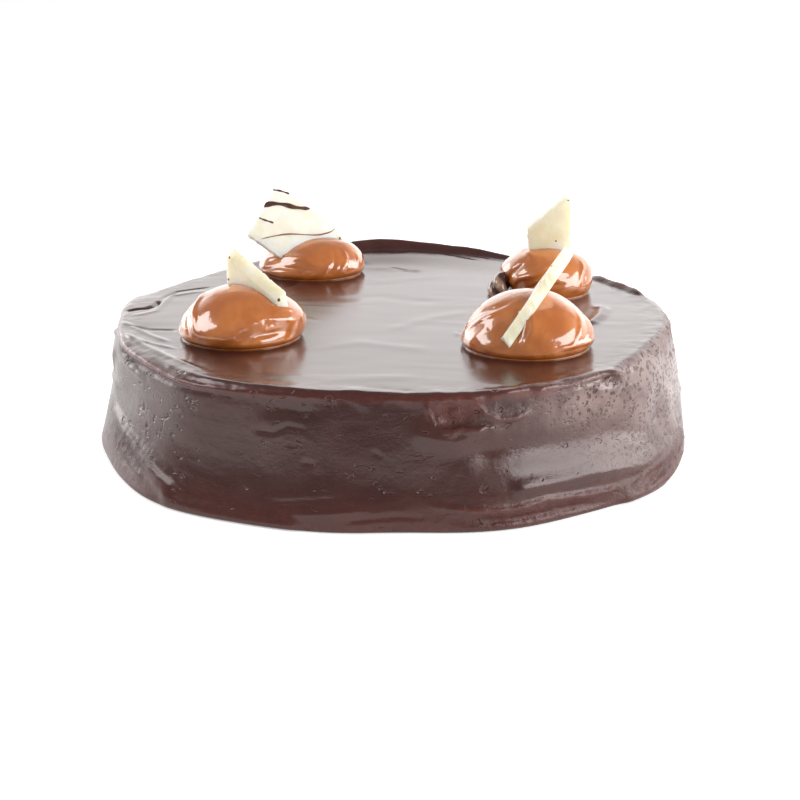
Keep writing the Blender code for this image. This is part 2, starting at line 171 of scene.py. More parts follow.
# Finer marks that only the looks carry: folds, torn edges, smears and pits on the wall
WALL_MARKS = (
    Stroke(((276.2, 43.5), (276.9, 38.8), (277.9, 35.1)), 0.7, 0.6, 0.25),
    Stroke(((277.9, 35.1), (280.6, 33.5), (282.4, 34.6), (285.4, 33.6), (287.4, 35.4)), 0.75, 1.1, 0.25),
    Stroke(((278.5, 38.0), (281.5, 37.0), (284.6, 37.8)), 1.6, -0.5, 0.25),
    Stroke(((279.5, 42.5), (282.5, 41.5)), 1.1, -0.5, 0.25),
    Stroke(((284.4, 43.0), (286.2, 41.0), (287.2, 38.8), (289.1, 37.0), (292.6, 36.6), (296.2, 38.2)),
           0.8, 1.1, 0.25),
    Stroke(((288.8, 41.0), (291.8, 40.6), (295.5, 41.4)), 2.3, -0.6, 0.25),
    Stroke(((299.0, 45.3), (305.0, 44.6), (309.8, 45.6), (313.5, 46.6), (316.6, 46.0), (318.0, 44.4),
            (317.2, 42.2), (315.4, 41.4)), 1.0, 0.3, 0.25),
    Stroke(((300.0, 43.4), (306.0, 43.6), (311.0, 44.2), (315.0, 44.4), (316.2, 43.2), (314.4, 42.2)),
           0.7, -1.0, 0.2),
    Stroke(((288.0, 45.2), (293.0, 45.6), (298.2, 45.3), (303.0, 45.9)), 0.9, 0.5, 0.25),
    Stroke(((287.5, 31.6), (298.2, 31.0), (308.4, 30.6), (323.0, 30.0)), 2.4, 0.25, 0.25),
    Stroke(((292.0, 11.6), (300.0, 9.6), (310.0, 8.4), (320.0, 8.6), (330.0, 10.4)), 1.6, -0.2, 0.25),
    Stroke(((276.0, 9.6), (283.3, 7.6), (290.5, 6.7), (297.4, 8.4), (307.1, 6.5), (316.1, 5.9)),
           0.9, 0.8, 0.25),
    Stroke(((280.0, 4.6), (290.0, 3.6), (300.0, 4.2), (310.0, 3.0)), 1.0, -0.9, 0.25),
    Stroke(((316.0, 3.9), (321.1, 8.5), (331.8, 11.0), (342.2, 9.3)), 0.9, 0.8, 0.25),
    Stroke(((319.0, 3.2), (326.0, 6.6), (336.0, 7.6)), 0.9, -0.8, 0.25),
    Stroke(((324.0, 3.0), (334.3, 3.9), (346.0, 3.6)), 0.9, 0.7, 0.25),
    Stroke(((332.0, 14.6), (340.0, 13.0), (348.0, 13.8)), 0.8, -0.7, 0.25),
    Stroke(((250.4, 39.8), (252.7, 39.2), (255.2, 39.9)), 0.9, -0.5, 0.25),
    Stroke(((243.7, 32.2), (247.8, 31.7), (250.6, 34.5), (254.6, 33.7)), 0.9, -0.45, 0.25),
    Stroke(((253.7, 22.9), (255.9, 22.1)), 0.7, -0.5, 0.25),
    Stroke(((266.3, 27.6), (268.1, 25.0)), 0.45, -0.35, 0.25),
    Stroke(((247.0, 8.4), (256.7, 10.7), (263.0, 12.3)), 0.8, -0.3, 0.25),
    Stroke(((252.0, 5.6), (258.0, 6.6), (266.0, 8.4)), 0.9, 0.3, 0.25),
    Stroke(((261.0, 4.4), (270.0, 5.8), (277.0, 5.4)), 0.8, -0.35, 0.25),
    Stroke(((192.0, 45.6), (202.8, 44.6), (212.3, 45.2), (221.2, 44.6), (229.0, 44.2), (243.0, 44.6)),
           0.9, 0.7, 0.25),
    Stroke(((194.0, 42.6), (204.0, 41.8), (214.0, 42.6), (226.0, 42.4), (238.0, 43.0)), 0.8, -0.5, 0.25),
    Stroke(((194.0, 42.0), (197.0, 40.4), (200.0, 41.4), (203.0, 39.6), (206.0, 40.6), (210.0, 39.0)),
           0.6, -0.9, 0.25),
    Stroke(((198.0, 38.8), (202.0, 38.0), (207.0, 38.6), (213.0, 37.8)), 0.7, 0.4, 0.25),
    Stroke(((198.0, 20.6), (206.0, 18.0), (213.0, 16.4), (219.0, 13.0), (226.0, 9.2), (233.0, 5.6)),
           0.9, 0.5, 0.25),
    Stroke(((200.0, 16.4), (208.0, 13.4), (216.0, 10.6), (224.0, 6.0)), 1.2, -0.5, 0.25),
    Stroke(((203.0, 11.0), (212.0, 8.6), (220.0, 5.2)), 0.8, 0.4, 0.25),
    Stroke(((214.0, 30.4), (214.6, 27.6)), 0.5, -0.4, 0.25),
    Stroke(((216.4, 24.6), (217.2, 22.4)), 0.5, -0.4, 0.25))
ROUGH_PATCHES = (
    Patch(208, 12.0, 26.0, 8.0), Patch(204, 41.0, 20.0, 2.6), Patch(300, 5.0, 44.0, 4.6),
    Patch(333, 8.0, 28.0, 6.5), Patch(282, 39.5, 10.0, 4.5), Patch(292, 40.0, 8.0, 3.2),
    Patch(350, 44.5, 30.0, 3.0), Patch(62, 8.0, 34.0, 6.0), Patch(118, 40.0, 26.0, 5.0),
    Patch(152, 10.0, 30.0, 6.5), Patch(30, 30.0, 24.0, 9.0))
# Porous places: pits, and a pale bloom which on the lit right wall also paints its sheen.
POROUS_PATCHES = (
    Patch(334, 34.0, 36.0, 20.0), Patch(308, 38.0, 22.0, 8.0, 0.75), Patch(4, 28.0, 34.0, 22.0),
    Patch(348, 45.5, 34.0, 4.5, 0.8),
    Patch(50, 30.0, 32.0, 14.0, 0.9), Patch(100, 18.0, 40.0, 14.0, 0.8),
    Patch(160, 32.0, 34.0, 14.0, 0.8), Patch(254, 28.0, 34.0, 14.0, 0.08),
    Patch(214, 30.0, 16.0, 10.0, 0.10))
TORN_PATCHES = (
    Patch(279.5, 40.0, 6.0, 4.0), Patch(284.5, 41.5, 5.0, 3.2), Patch(298.0, 43.5, 7.0, 1.6, 0.6))

# Marks on the top, in millimetres from the cake's axis
TOP_MARKS = (
    Stroke(((-102.3, 5.3), (-99.5, 7.6), (-95.8, 9.1), (-92.8, 13.7), (-91.7, 20.7)), 0.9, -1.3, 0.1),
    Stroke(((-91.7, 20.7), (-90.2, 27.9), (-86.3, 35.9), (-79.8, 40.1), (-73.2, 43.4)), 0.6, -0.45, 0.15),
    Stroke(((-101.7, -2.2), (-96.9, -0.7), (-91.4, 5.3), (-89.8, 17.6), (-87.9, 28.7), (-81.2, 33.5),
            (-73.5, 37.6)), 1.3, 0.32, 0.15),
    Stroke(((-99.7, -15.3), (-90.5, -21.0), (-79.9, -22.4)), 0.9, -0.4, 0.15),
    Stroke(((-99.5, -26.6), (-92.3, -36.2), (-84.2, -42.9), (-77.8, -48.1)), 1.1, 0.35, 0.15),
    Stroke(((-103.3, -9.5), (-97.8, -16.7), (-89.5, -29.3), (-81.1, -38.9)), 1.2, 0.4, 0.15),
    Stroke(((-101.0, -24.0), (-93.0, -38.0), (-80.0, -58.0), (-64.0, -78.0)), 1.4, 0.5, 0.15),
    Stroke(((-0.1, 76.3), (5.4, 70.9), (11.7, 69.2)), 0.7, 0.4, 0.15),
    Stroke(((-40.5, 54.5), (-37.3, 56.4), (-36.6, 50.8), (-39.0, 45.0), (-42.5, 42.2)), 0.8, 0.5, 0.15),
    Stroke(((-36.9, -2.2), (-33.3, -5.1), (-29.3, -9.5)), 1.0, 0.2, 0.15),
    Stroke(((23.7, -25.2), (24.6, -30.7)), 0.7, 0.35, 0.15),
    Stroke(((80.5, 13.4), (81.6, 6.8), (79.5, -2.2), (75.4, -11.6), (70.0, -15.0)), 2.2, 1.0, 0.15),
    Stroke(((89.2, 53.5), (93.0, 46.7), (96.9, 38.4), (100.0, 28.7)), 1.8, 0.7, 0.15),
    Stroke(((-20.0, 97.0), (3.4, 101.0), (20.8, 98.0), (37.6, 87.3)), 1.3, -0.45, 0.15),
    Stroke(((-84.0, -68.0), (-60.0, -90.0), (-40.0, -100.0), (-12.0, -108.0)), 10.0, 0.55, 0.3),
    Stroke(((-49.1, -77.0), (-21.2, -86.5), (9.5, -81.8)), 4.0, 0.14, 0.15),
    Stroke(((-33.1, -49.4), (-11.7, -40.2), (13.6, -49.4)), 3.6, 0.16, 0.15),
    Stroke(((-0.8, -22.4), (14.4, -5.1), (30.1, 3.8)), 3.4, 0.14, 0.15),
    Stroke(((-24.6, 22.3), (-4.9, 27.1), (18.8, 17.6)), 4.0, -0.14, 0.15),
    Stroke(((-30.1, 63.9), (-5.0, 53.5), (24.2, 62.0)), 4.0, 0.12, 0.15))


def smooth_step(low: float, high: float, value: np.ndarray) -> np.ndarray:
    """0 below low, 1 above high and a smooth ramp between.

    Args:
        low: Where the ramp starts.
        high: Where the ramp ends.
        value: The values to read.

    Returns:
        The share at each value.
    """
    share = np.clip((value - low) / (high - low), 0.0, 1.0)
    return share * share * (3.0 - 2.0 * share)


def turn_between(bearing: np.ndarray, middle: float) -> np.ndarray:
    """Signed degrees from middle to each bearing, from -180 to 180."""
    return (bearing - middle + 180.0) % 360.0 - 180.0


def swell_sum(bearing: np.ndarray, swells: Sequence[Swell]) -> np.ndarray:
    """Sum of bulges at each bearing.

    Args:
        bearing: Bearings in degrees.
        swells: The bulges.

    Returns:
        The sum in metres.
    """
    total = np.zeros_like(bearing)
    for swell in swells:
        away = turn_between(bearing, swell.bearing) / swell.half_width
        total += swell.amount * MM * np.exp(-away ** 2)
    return total


def stroke_relief(across: np.ndarray, up: np.ndarray, line: Sequence[Pair], stroke: Stroke) -> np.ndarray:
    """Relief of one stroke on a flat sheet.

    Args:
        across: First coordinate of each place, in metres.
        up: Second coordinate of each place, in metres.
        line: The stroke's points on that sheet, in metres.
        stroke: Its half width, amount and taper.

    Returns:
        The step outwards at each place, in metres.
    """
    nearest = np.full_like(across, np.inf)
    passed = np.zeros_like(across)
    whole = sum(math.dist(first, second) for first, second in zip(line, line[1:]))
    before = 0.0
    for (x0, y0), (x1, y1) in zip(line, line[1:]):
        run_x, run_y = x1 - x0, y1 - y0
        share = ((across - x0) * run_x + (up - y0) * run_y) / (run_x * run_x + run_y * run_y)
        share = np.clip(share, 0.0, 1.0)
        away = np.hypot(across - x0 - share * run_x, up - y0 - share * run_y)
        length = math.hypot(run_x, run_y)
        passed = np.where(away < nearest, (before + share * length) / whole, passed)
        nearest = np.minimum(nearest, away)
        before += length
    relief = stroke.amount * MM * np.exp(-(nearest / (stroke.half_width * MM)) ** 2)
    if stroke.taper:
        relief *= smooth_step(-0.05, stroke.taper, np.minimum(passed, 1.0 - passed))
    return relief


def grain(points: np.ndarray, scale: Triple, seed: float, octaves: int = 3) -> np.ndarray:
    """Fractal noise at each point, about -1 to 1.

    Args:
        points: Rows of x, y, z.
        scale: Waves per metre along each axis.
        seed: A shift that gives another pattern.
        octaves: How many layers are summed.

    Returns:
        The noise at each point.
    """
    placed = points * np.array(scale) + seed * 13.7
    return np.array([noise.fractal(Vector(row), 1.0, 2.0, octaves) for row in placed])


def read_points(mesh: bpy.types.Mesh) -> np.ndarray:
    """Read the mesh's points.

    Args:
        mesh: The mesh.

    Returns:
        Rows of x, y, z.
    """
    flat = np.empty(len(mesh.vertices) * 3, dtype=np.float32)
    mesh.vertices.foreach_get("co", flat)
    return flat.reshape(-1, 3).astype(np.float64)


def read_normals(mesh: bpy.types.Mesh) -> np.ndarray:
    """Read the mesh's point normals.

    Args:
        mesh: The mesh.

    Returns:
        Rows of x, y, z.
    """
    flat = np.empty(len(mesh.vertices) * 3, dtype=np.float32)
    mesh.vertex_normals.foreach_get("vector", flat)
    return flat.reshape(-1, 3).astype(np.float64)


def write_points(mesh: bpy.types.Mesh, points: np.ndarray) -> None:
    """Move the mesh's points to the rows of an array."""
    mesh.vertices.foreach_set("co", points.astype(np.float32).ravel())
    mesh.update()


def write_share(mesh: bpy.types.Mesh, name: str, values: np.ndarray) -> None:
    """Store a number per point, which a material reads by name."""
    layer = mesh.attributes.new(name, "FLOAT", "POINT")
    layer.data.foreach_set("value", np.clip(values, 0.0, 1.0).astype(np.float32))


def finished_mesh(bm: bmesh.types.BMesh, name: str) -> bpy.types.Mesh:
    """Close a bmesh into a smooth mesh whose faces point outwards.

    Args:
        bm: The shape, which is freed.
        name: The mesh's name.

    Returns:
        The mesh.
    """
    bmesh.ops.recalc_face_normals(bm, faces=bm.faces[:])
    mesh = bpy.data.meshes.new(name)
    bm.to_mesh(mesh)
    bm.free()
    mesh.shade_smooth()
    return mesh


def add_piece(mesh: bpy.types.Mesh, material: bpy.types.Material, slot: Slot,
              nodes: Sequence[str] = ()) -> bpy.types.Object:
    """Put a finished mesh into the scene as a piece of the cake.

    Args:
        mesh: The mesh, already in place.
        material: Its finish.
        slot: The record's slot that the finish belongs to.
        nodes: CAD nodes that the piece stands for.

    Returns:
        The piece.
    """
    piece = bpy.data.objects.new(mesh.name, mesh)
    bpy.context.scene.collection.objects.link(piece)
    mesh.materials.append(material)
    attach(piece, BODY)
    if nodes:
        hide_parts(*nodes)
    log.info("%s: %d faces, slot %s", piece.name, len(mesh.polygons), slot.value)
    return piece


class NodeSheet:
    """Adds and joins the nodes of one tree."""

    def __init__(self, tree: bpy.types.NodeTree) -> None:
        """Work on a tree."""
        self.tree = tree

    def add(self, kind: str, inputs: Optional[Dict[Union[str, int], Feed]] = None,
            **settings: Any) -> bpy.types.Node:
        """Add a node.

        Args:
            kind: The node's type.
            inputs: Values or sockets for its inputs, by name or number.
            **settings: Properties of the node.

        Returns:
            The node.
        """
        node = self.tree.nodes.new(kind)
        for key, value in settings.items():
            setattr(node, key, value)
        for key, value in (inputs or {}).items():
            self.give(node, key, value)
        return node

    def give(self, node: bpy.types.Node, key: Union[str, int], value: Feed) -> None:
        """Set an input to a value, or link it to a socket.

        Args:
            node: The node.
            key: The input's name or number.
            value: The value or the socket.
        """
        if isinstance(value, bpy.types.NodeSocket):
            self.tree.links.new(value, node.inputs[key])
        else:
            node.inputs[key].default_value = value

    def ramp(self, value: Feed, low: float, high: float, start: float = 0.0,
             end: float = 1.0) -> bpy.types.NodeSocket:
        """Smoothly map low..high of a value to start..end."""
        return self.add("ShaderNodeMapRange", {
            "Value": value, "From Min": low, "From Max": high, "To Min": start, "To Max": end},
            interpolation_type="SMOOTHSTEP").outputs[0]

    def math(self, operation: str, first: Feed, second: Feed) -> bpy.types.NodeSocket:
        """One sum on two numbers."""
        return self.add("ShaderNodeMath", {0: first, 1: second}, operation=operation).outputs[0]


class NodeSketch(NodeSheet):
    """The nodes of one material, round its Principled shader."""

    def __init__(self, name: str) -> None:
        """Start a material with an empty Principled shader.

        Args:
            name: The material's name.
        """
        self.material = bpy.data.materials.new(name)
        self.material.use_nodes = True
        super().__init__(self.material.node_tree)
        self.shader = self.tree.nodes["Principled BSDF"]
        self.place = self.add("ShaderNodeTexCoord").outputs["Object"]

    def dress(self, **inputs: Feed) -> None:
        """Set inputs of the Principled shader, with spaces written as underscores."""
        for key, value in inputs.items():
            self.give(self.shader, key.replace("_", " "), value)

    def share(self, name: str) -> bpy.types.NodeSocket:
        """The number per point that the mesh stores under a name."""
        return self.add("ShaderNodeAttribute", attribute_name=name).outputs["Fac"]

    def stretched(self, scale: Triple, turn: Triple = (0.0, 0.0, 0.0)) -> bpy.types.NodeSocket:
        """Object coordinates, scaled and then turned."""
        return self.add("ShaderNodeMapping", {
            "Vector": self.place, "Rotation": turn, "Scale": scale}).outputs[0]

    def noise(self, vector: bpy.types.NodeSocket, scale: float, detail: float = 3.0,
              roughness: float = 0.5, distortion: float = 0.0) -> bpy.types.NodeSocket:
        """Noise between 0 and 1."""
        return self.add("ShaderNodeTexNoise", {
            "Vector": vector, "Scale": scale, "Detail": detail, "Roughness": roughness,
            "Distortion": distortion}).outputs["Fac"]

    def blend(self, share: Feed, first: Feed, second: Feed) -> bpy.types.NodeSocket:
        """Blend two colours by a share."""
        node = self.add("ShaderNodeMix", {0: share, 6: first, 7: second}, data_type="RGBA")
        return node.outputs[2]

    def between(self, share: Feed, first: Feed, second: Feed) -> bpy.types.NodeSocket:
        """Blend two numbers by a share."""
        return self.add("ShaderNodeMix", {0: share, 2: first, 3: second}).outputs[0]

    def bump(self, height: Feed, distance: float,
             normal: Optional[bpy.types.NodeSocket] = None) -> bpy.types.NodeSocket:
        """Bump the surface.

        Args:
            height: The bump's height, about 0 to 1.
            distance: How far a height of 1 stands out, in metres.
            normal: A bumped normal that this one adds to.

        Returns:
            The bumped normal.
        """
        node = self.add("ShaderNodeBump", {"Height": height, "Distance": distance, "Strength": 1.0})
        if normal is not None:
            self.give(node, "Normal", normal)
        return node.outputs[0]


def opaque(colour: Colour) -> Tuple[float, float, float, float]:
    """The colour with full alpha."""
    return (*colour, 1.0)


@dataclass(frozen=True)
class GanacheFinish:
    """Glossy dark chocolate coat: knife streaks, pores, and a redder tone where it is thin.

    Pits are cells per metre and the cell value from which a cell has a hole. Depths are in metres.
    """

    name: str = "dark_ganache"
    dark: Colour = (0.038, 0.0110, 0.0095)
    brown: Colour = (0.052, 0.0160, 0.0130)
    thin_and_crest_highlight: Colour = (0.160, 0.0300, 0.0200)
    pit_shade: Colour = (0.045, 0.0110, 0.0090)
    bloom_and_sheen: Colour = (0.230, 0.1550, 0.1430)
    top_roughness: float = 0.22
    wall_roughness: Pair = (0.22, 0.35)
    rough_roughness: float = 0.46
    top_coat: float = 0.42
    wall_coat: float = 0.18
    fine_pits: Pair = (640.0, 0.30)
    big_pits: Pair = (450.0, 0.50)
    streak_depth: float = 0.00026
    knife_depth: float = 0.00030
    pit_depth: float = 0.00030
    grain_depth: float = 0.00016
    nick_depth: float = 0.00036
    crumb_depth: float = 0.00055

    def material(self) -> bpy.types.Material:
        """Build the material; the mesh stores top, porous, rough and thin per point (on the fold, crests
        with a painted highlight).

        Returns:
            The material.
        """
        sketch = NodeSketch(self.name)
        top, porous = sketch.share("top"), sketch.share("porous")
        rough, thin_and_crest_highlight = sketch.share("rough"), sketch.share("thin_and_crest_highlight")
        holes = sketch.math("MAXIMUM", self.pits(sketch, *self.fine_pits, porous),
                            self.pits(sketch, *self.big_pits, porous))
        smooth = sketch.math("MULTIPLY", top, sketch.math("SUBTRACT", 1.0, rough))
        coat = sketch.ramp(smooth, 0.0, 1.0, self.wall_coat, self.top_coat)
        coat = sketch.math("MULTIPLY", coat, sketch.ramp(rough, 0.5, 1.0, 1.0, 0.1))
        normal = self.relief(sketch, top, rough, holes)
        sketch.dress(Base_Color=self.tone(sketch, thin_and_crest_highlight, porous, holes),
                     Roughness=self.gloss(sketch, smooth, rough), Normal=normal, IOR=1.48,
                     Specular_Tint=opaque((1.0, 0.93, 0.91)), Coat_Weight=coat, Coat_Roughness=0.17,
                     Coat_IOR=1.5, Coat_Normal=normal)
        return sketch.material

    def tone(self, sketch: NodeSketch, thin_and_crest_highlight: bpy.types.NodeSocket, porous: bpy.types.NodeSocket,
             holes: bpy.types.NodeSocket) -> bpy.types.NodeSocket:
        """Mottled brown, redder where thin, milky where porous (partly a painted sheen), and painted shade
        in the holes.

        Args:
            sketch: The material's sketch.
            thin_and_crest_highlight: Where the coat is thin; on the fold, the pleat crests that take a
                painted highlight.
            porous: Where it is porous.
            holes: 1 in a hole.

        Returns:
            The colour.
        """
        mottle = sketch.ramp(sketch.noise(sketch.place, 55.0, 6.0, 0.62, 0.6), 0.36, 0.66)
        colour = sketch.blend(mottle, opaque(self.dark), opaque(self.brown))
        speck = sketch.ramp(sketch.noise(sketch.place, 420.0, 3.0, 0.6), 0.50, 0.68)
        reddish = sketch.math("MULTIPLY", thin_and_crest_highlight, sketch.ramp(speck, 0.0, 1.0, 0.55, 1.0))
        colour = sketch.blend(reddish, colour, opaque(self.thin_and_crest_highlight))
        cloud = sketch.ramp(sketch.noise(sketch.place, 90.0, 5.0, 0.65, 0.4), 0.25, 0.62, 0.25)
        # Pale bloom where porous: partly the coat's own milky bloom, partly a painted sheen of the lit right
        # wall.
        colour = sketch.blend(sketch.math("MULTIPLY", porous, cloud), colour, opaque(self.bloom_and_sheen))
        # Painted shade: the holes are darkened in colour as well as sunk by the bump.
        return sketch.blend(sketch.math("MULTIPLY", holes, 0.95), colour, opaque(self.pit_shade))

    def gloss(self, sketch: NodeSketch, smooth: bpy.types.NodeSocket,
              rough: bpy.types.NodeSocket) -> bpy.types.NodeSocket:
        """Smeared satin on the wall, dull where it is rough and glossy on the smooth top.

        Args:
            sketch: The material's sketch.
            smooth: Where the coat is top and smooth.
            rough: Where it is rough.

        Returns:
            The roughness.
        """
        smear = sketch.noise(sketch.stretched((9.0, 9.0, 60.0)), 3.0, 4.0, 0.55, 0.6)
        satin = sketch.ramp(smear, 0.3, 0.7, *self.wall_roughness)
        satin = sketch.between(rough, satin, self.rough_roughness)
        return sketch.between(smooth, satin, self.top_roughness)

    def relief(self, sketch: NodeSketch, top: bpy.types.NodeSocket, rough: bpy.types.NodeSocket,
               holes: bpy.types.NodeSocket) -> bpy.types.NodeSocket:
        """Spread streaks on the top; knife strokes, holes, grain and nicks on the side; rough crumb.

        Args:
            sketch: The material's sketch.
            top: Where the coat is top.
            rough: Where it is rough.
            holes: 1 in a hole.

        Returns:
            The bumped normal.
        """
        side = sketch.math("SUBTRACT", 1.0, top)
        streaks = sketch.noise(sketch.stretched((11.0, 30.0, 20.0), (0.0, 0.0, 0.14)), 1.0, 1.2, 0.4, 1.6)
        normal = sketch.bump(sketch.math("MULTIPLY", streaks, top), self.streak_depth)
        knife = sketch.noise(sketch.stretched((34.0, 34.0, 100.0)), 1.0, 5.0, 0.52, 0.8)
        normal = sketch.bump(sketch.math("MULTIPLY", knife, side), self.knife_depth, normal)
        normal = sketch.bump(sketch.math("MULTIPLY", holes, -1.0), self.pit_depth, normal)
        fine = sketch.noise(sketch.place, 240.0, 4.0, 0.6)
        normal = sketch.bump(sketch.math("MULTIPLY", fine, side), self.grain_depth, normal)
        nicks = sketch.noise(sketch.stretched((190.0, 190.0, 330.0)), 1.0, 2.0, 0.5, 0.3)
        nicks = sketch.ramp(nicks, 0.63, 0.70)
        strewn = sketch.ramp(sketch.noise(sketch.place, 46.0, 2.0), 0.42, 0.58)
        nicks = sketch.math("MULTIPLY", sketch.math("MULTIPLY", nicks, strewn), side)
        normal = sketch.bump(sketch.math("MULTIPLY", nicks, -1.0), self.nick_depth, normal)
        crumb = sketch.noise(sketch.place, 520.0, 5.0, 0.65)
        return sketch.bump(sketch.math("MULTIPLY", crumb, rough), self.crumb_depth, normal)

    @staticmethod
    def pits(sketch: NodeSketch, scale: float, density: float,
             porous: bpy.types.NodeSocket) -> bpy.types.NodeSocket:
        """Small scattered holes.

        Args:
            sketch: The material's sketch.
            scale: Cells per metre.
            density: Cell values above this get a hole.
            porous: Where holes are allowed.

        Returns:
            1 in a hole, 0 outside.
        """
        wobble = sketch.add("ShaderNodeTexNoise", {
            "Vector": sketch.place, "Scale": scale * 1.7, "Detail": 2.0})
        bent = sketch.add("ShaderNodeVectorMath", {
            0: wobble.outputs["Color"], 1: (0.9 / scale,) * 3,
            2: sketch.stretched((1.0, 0.55, 1.0))},
            operation="MULTIPLY_ADD")
        cells = sketch.add("ShaderNodeTexVoronoi", {
            "Vector": bent.outputs[0], "Scale": scale, "Randomness": 1.0})
        hole = sketch.ramp(cells.outputs["Distance"], 0.42, 0.24)
        pick = sketch.add("ShaderNodeSeparateColor", {0: cells.outputs["Color"]}).outputs[0]
        kept = sketch.ramp(pick, density - 0.03, density + 0.03)
        return sketch.math("MULTIPLY", sketch.math("MULTIPLY", hole, kept), porous)


@dataclass(frozen=True)
class CaramelFinish:
    """Glossy caramel cream with soft streaks that follow the spoon's turn."""

    name: str
    middle: Triple
    turn: Triple
    light: Colour = (0.630, 0.204, 0.039)
    deep: Colour = (0.450, 0.122, 0.017)
    roughness: float = 0.22
    line_depth: float = 0.00014
    ripple_depth: float = 0.00012

    def material(self) -> bpy.types.Material:
        """Build the material.

        Returns:
            The material.
        """
        sketch = NodeSketch(self.name)
        swirl = sketch.add("ShaderNodeTexWave", {
            "Vector": self.centred(sketch), "Scale": 62.0, "Distortion": 3.4, "Detail": 3.0,
            "Detail Scale": 1.4, "Detail Roughness": 0.55},
            wave_type="RINGS", rings_direction="Z", wave_profile="SIN").outputs["Fac"]
        cloud = sketch.noise(sketch.place, 95.0, 4.0, 0.55, 0.8)
        tone = sketch.ramp(sketch.math("ADD", sketch.math("MULTIPLY", swirl, 0.17), cloud), 0.35, 0.95)
        colour = sketch.blend(tone, opaque(self.deep), opaque(self.light))
        lines = sketch.math("MULTIPLY", swirl, sketch.ramp(
            sketch.noise(sketch.place, 70.0, 2.0), 0.42, 0.62))
        normal = sketch.bump(lines, self.line_depth)
        ripple = sketch.noise(sketch.place, 160.0, 3.0, 0.5, 0.5)
        normal = sketch.bump(ripple, self.ripple_depth, normal)
        sketch.dress(Base_Color=colour, Roughness=self.roughness, Normal=normal, IOR=1.48,
                     Subsurface_Weight=0.25, Subsurface_Radius=(0.010, 0.004, 0.0014),
                     Subsurface_Scale=0.6, Coat_Weight=1.0, Coat_Roughness=0.05, Coat_IOR=1.72,
                     Coat_Normal=normal)
        return sketch.material

    def centred(self, sketch: NodeSketch) -> bpy.types.NodeSocket:
        """Object coordinates about the dollop's middle, turned to the axis of its streaks."""
        moved = sketch.add("ShaderNodeVectorMath", {0: sketch.place, 1: self.middle},
                           operation="SUBTRACT")
        return sketch.add("ShaderNodeMapping", {
            "Vector": moved.outputs[0], "Rotation": self.turn}).outputs[0]


@dataclass(frozen=True)
class WhiteChocolateFinish:
    """Satin ivory chocolate, a little waxy, with faint clouds and a fine broken grain."""

    name: str
    ivory: Colour
    cream: Colour
    roughness: float = 0.42

    def material(self) -> bpy.types.Material:
        """Build the material.

        Returns:
            The material.
        """
        sketch = NodeSketch(self.name)
        cloud = sketch.ramp(sketch.noise(sketch.place, 120.0, 4.0, 0.55), 0.35, 0.65)
        colour = sketch.blend(cloud, opaque(self.ivory), opaque(self.cream))
        normal = sketch.bump(sketch.noise(sketch.place, 260.0, 5.0, 0.6), 0.00022)
        sketch.dress(Base_Color=colour, Roughness=self.roughness, Normal=normal, IOR=1.45,
                     Subsurface_Weight=0.7, Subsurface_Radius=(0.006, 0.0045, 0.0022),
                     Subsurface_Scale=1.0, Coat_Weight=0.15, Coat_Roughness=0.25)
        return sketch.material


@dataclass(frozen=True)
class StripeFinish:
    """Thin dark chocolate drizzle, paler where it is thin."""

    name: str
    dark: Colour
    pale: Colour
    roughness: float = 0.38

    def material(self) -> bpy.types.Material:
        """Build the material.

        Returns:
            The material.
        """
        sketch = NodeSketch(self.name)
        cloud = sketch.ramp(sketch.noise(sketch.place, 380.0, 3.0, 0.6), 0.35, 0.7)
        colour = sketch.blend(cloud, opaque(self.dark), opaque(self.pale))
        normal = sketch.bump(sketch.noise(sketch.place, 700.0, 3.0), 0.00008)
        sketch.dress(Base_Color=colour, Roughness=self.roughness, Normal=normal)
        return sketch.material


@dataclass(frozen=True)
class SpongeFinish:
    """Open reddish sponge crumb, dry and rough."""

    name: str = "sponge_crumb"
    dark: Colour = (0.075, 0.018, 0.011)
    light: Colour = (0.190, 0.050, 0.028)

    def material(self) -> bpy.types.Material:
        """Build the material.

        Returns:
            The material.
        """
        sketch = NodeSketch(self.name)
        cloud = sketch.ramp(sketch.noise(sketch.place, 900.0, 4.0, 0.7), 0.35, 0.65)
        colour = sketch.blend(cloud, opaque(self.dark), opaque(self.light))
        normal = sketch.bump(sketch.noise(sketch.place, 1500.0, 4.0, 0.7), 0.0003)
        sketch.dress(Base_Color=colour, Roughness=0.7, Normal=normal)
        return sketch.material


@dataclass(frozen=True)
class DollopForm:
    """A dollop's place and form.

    Bulges are (bearing, share of the height, half width in degrees, half height as a share, share of
    the radius). Folds are strokes whose points are (bearing, hundredths of the height).
    """

    middle: Pair
    half_size: Pair
    height: float
    lean: Pair
    dome_power: float
    waist: float
    base: float
    twist: float
    streak_turn: Triple
    bulges: Tuple[Tuple[float, float, float, float, float], ...]
    folds: Tuple[Stroke, ...] = ()


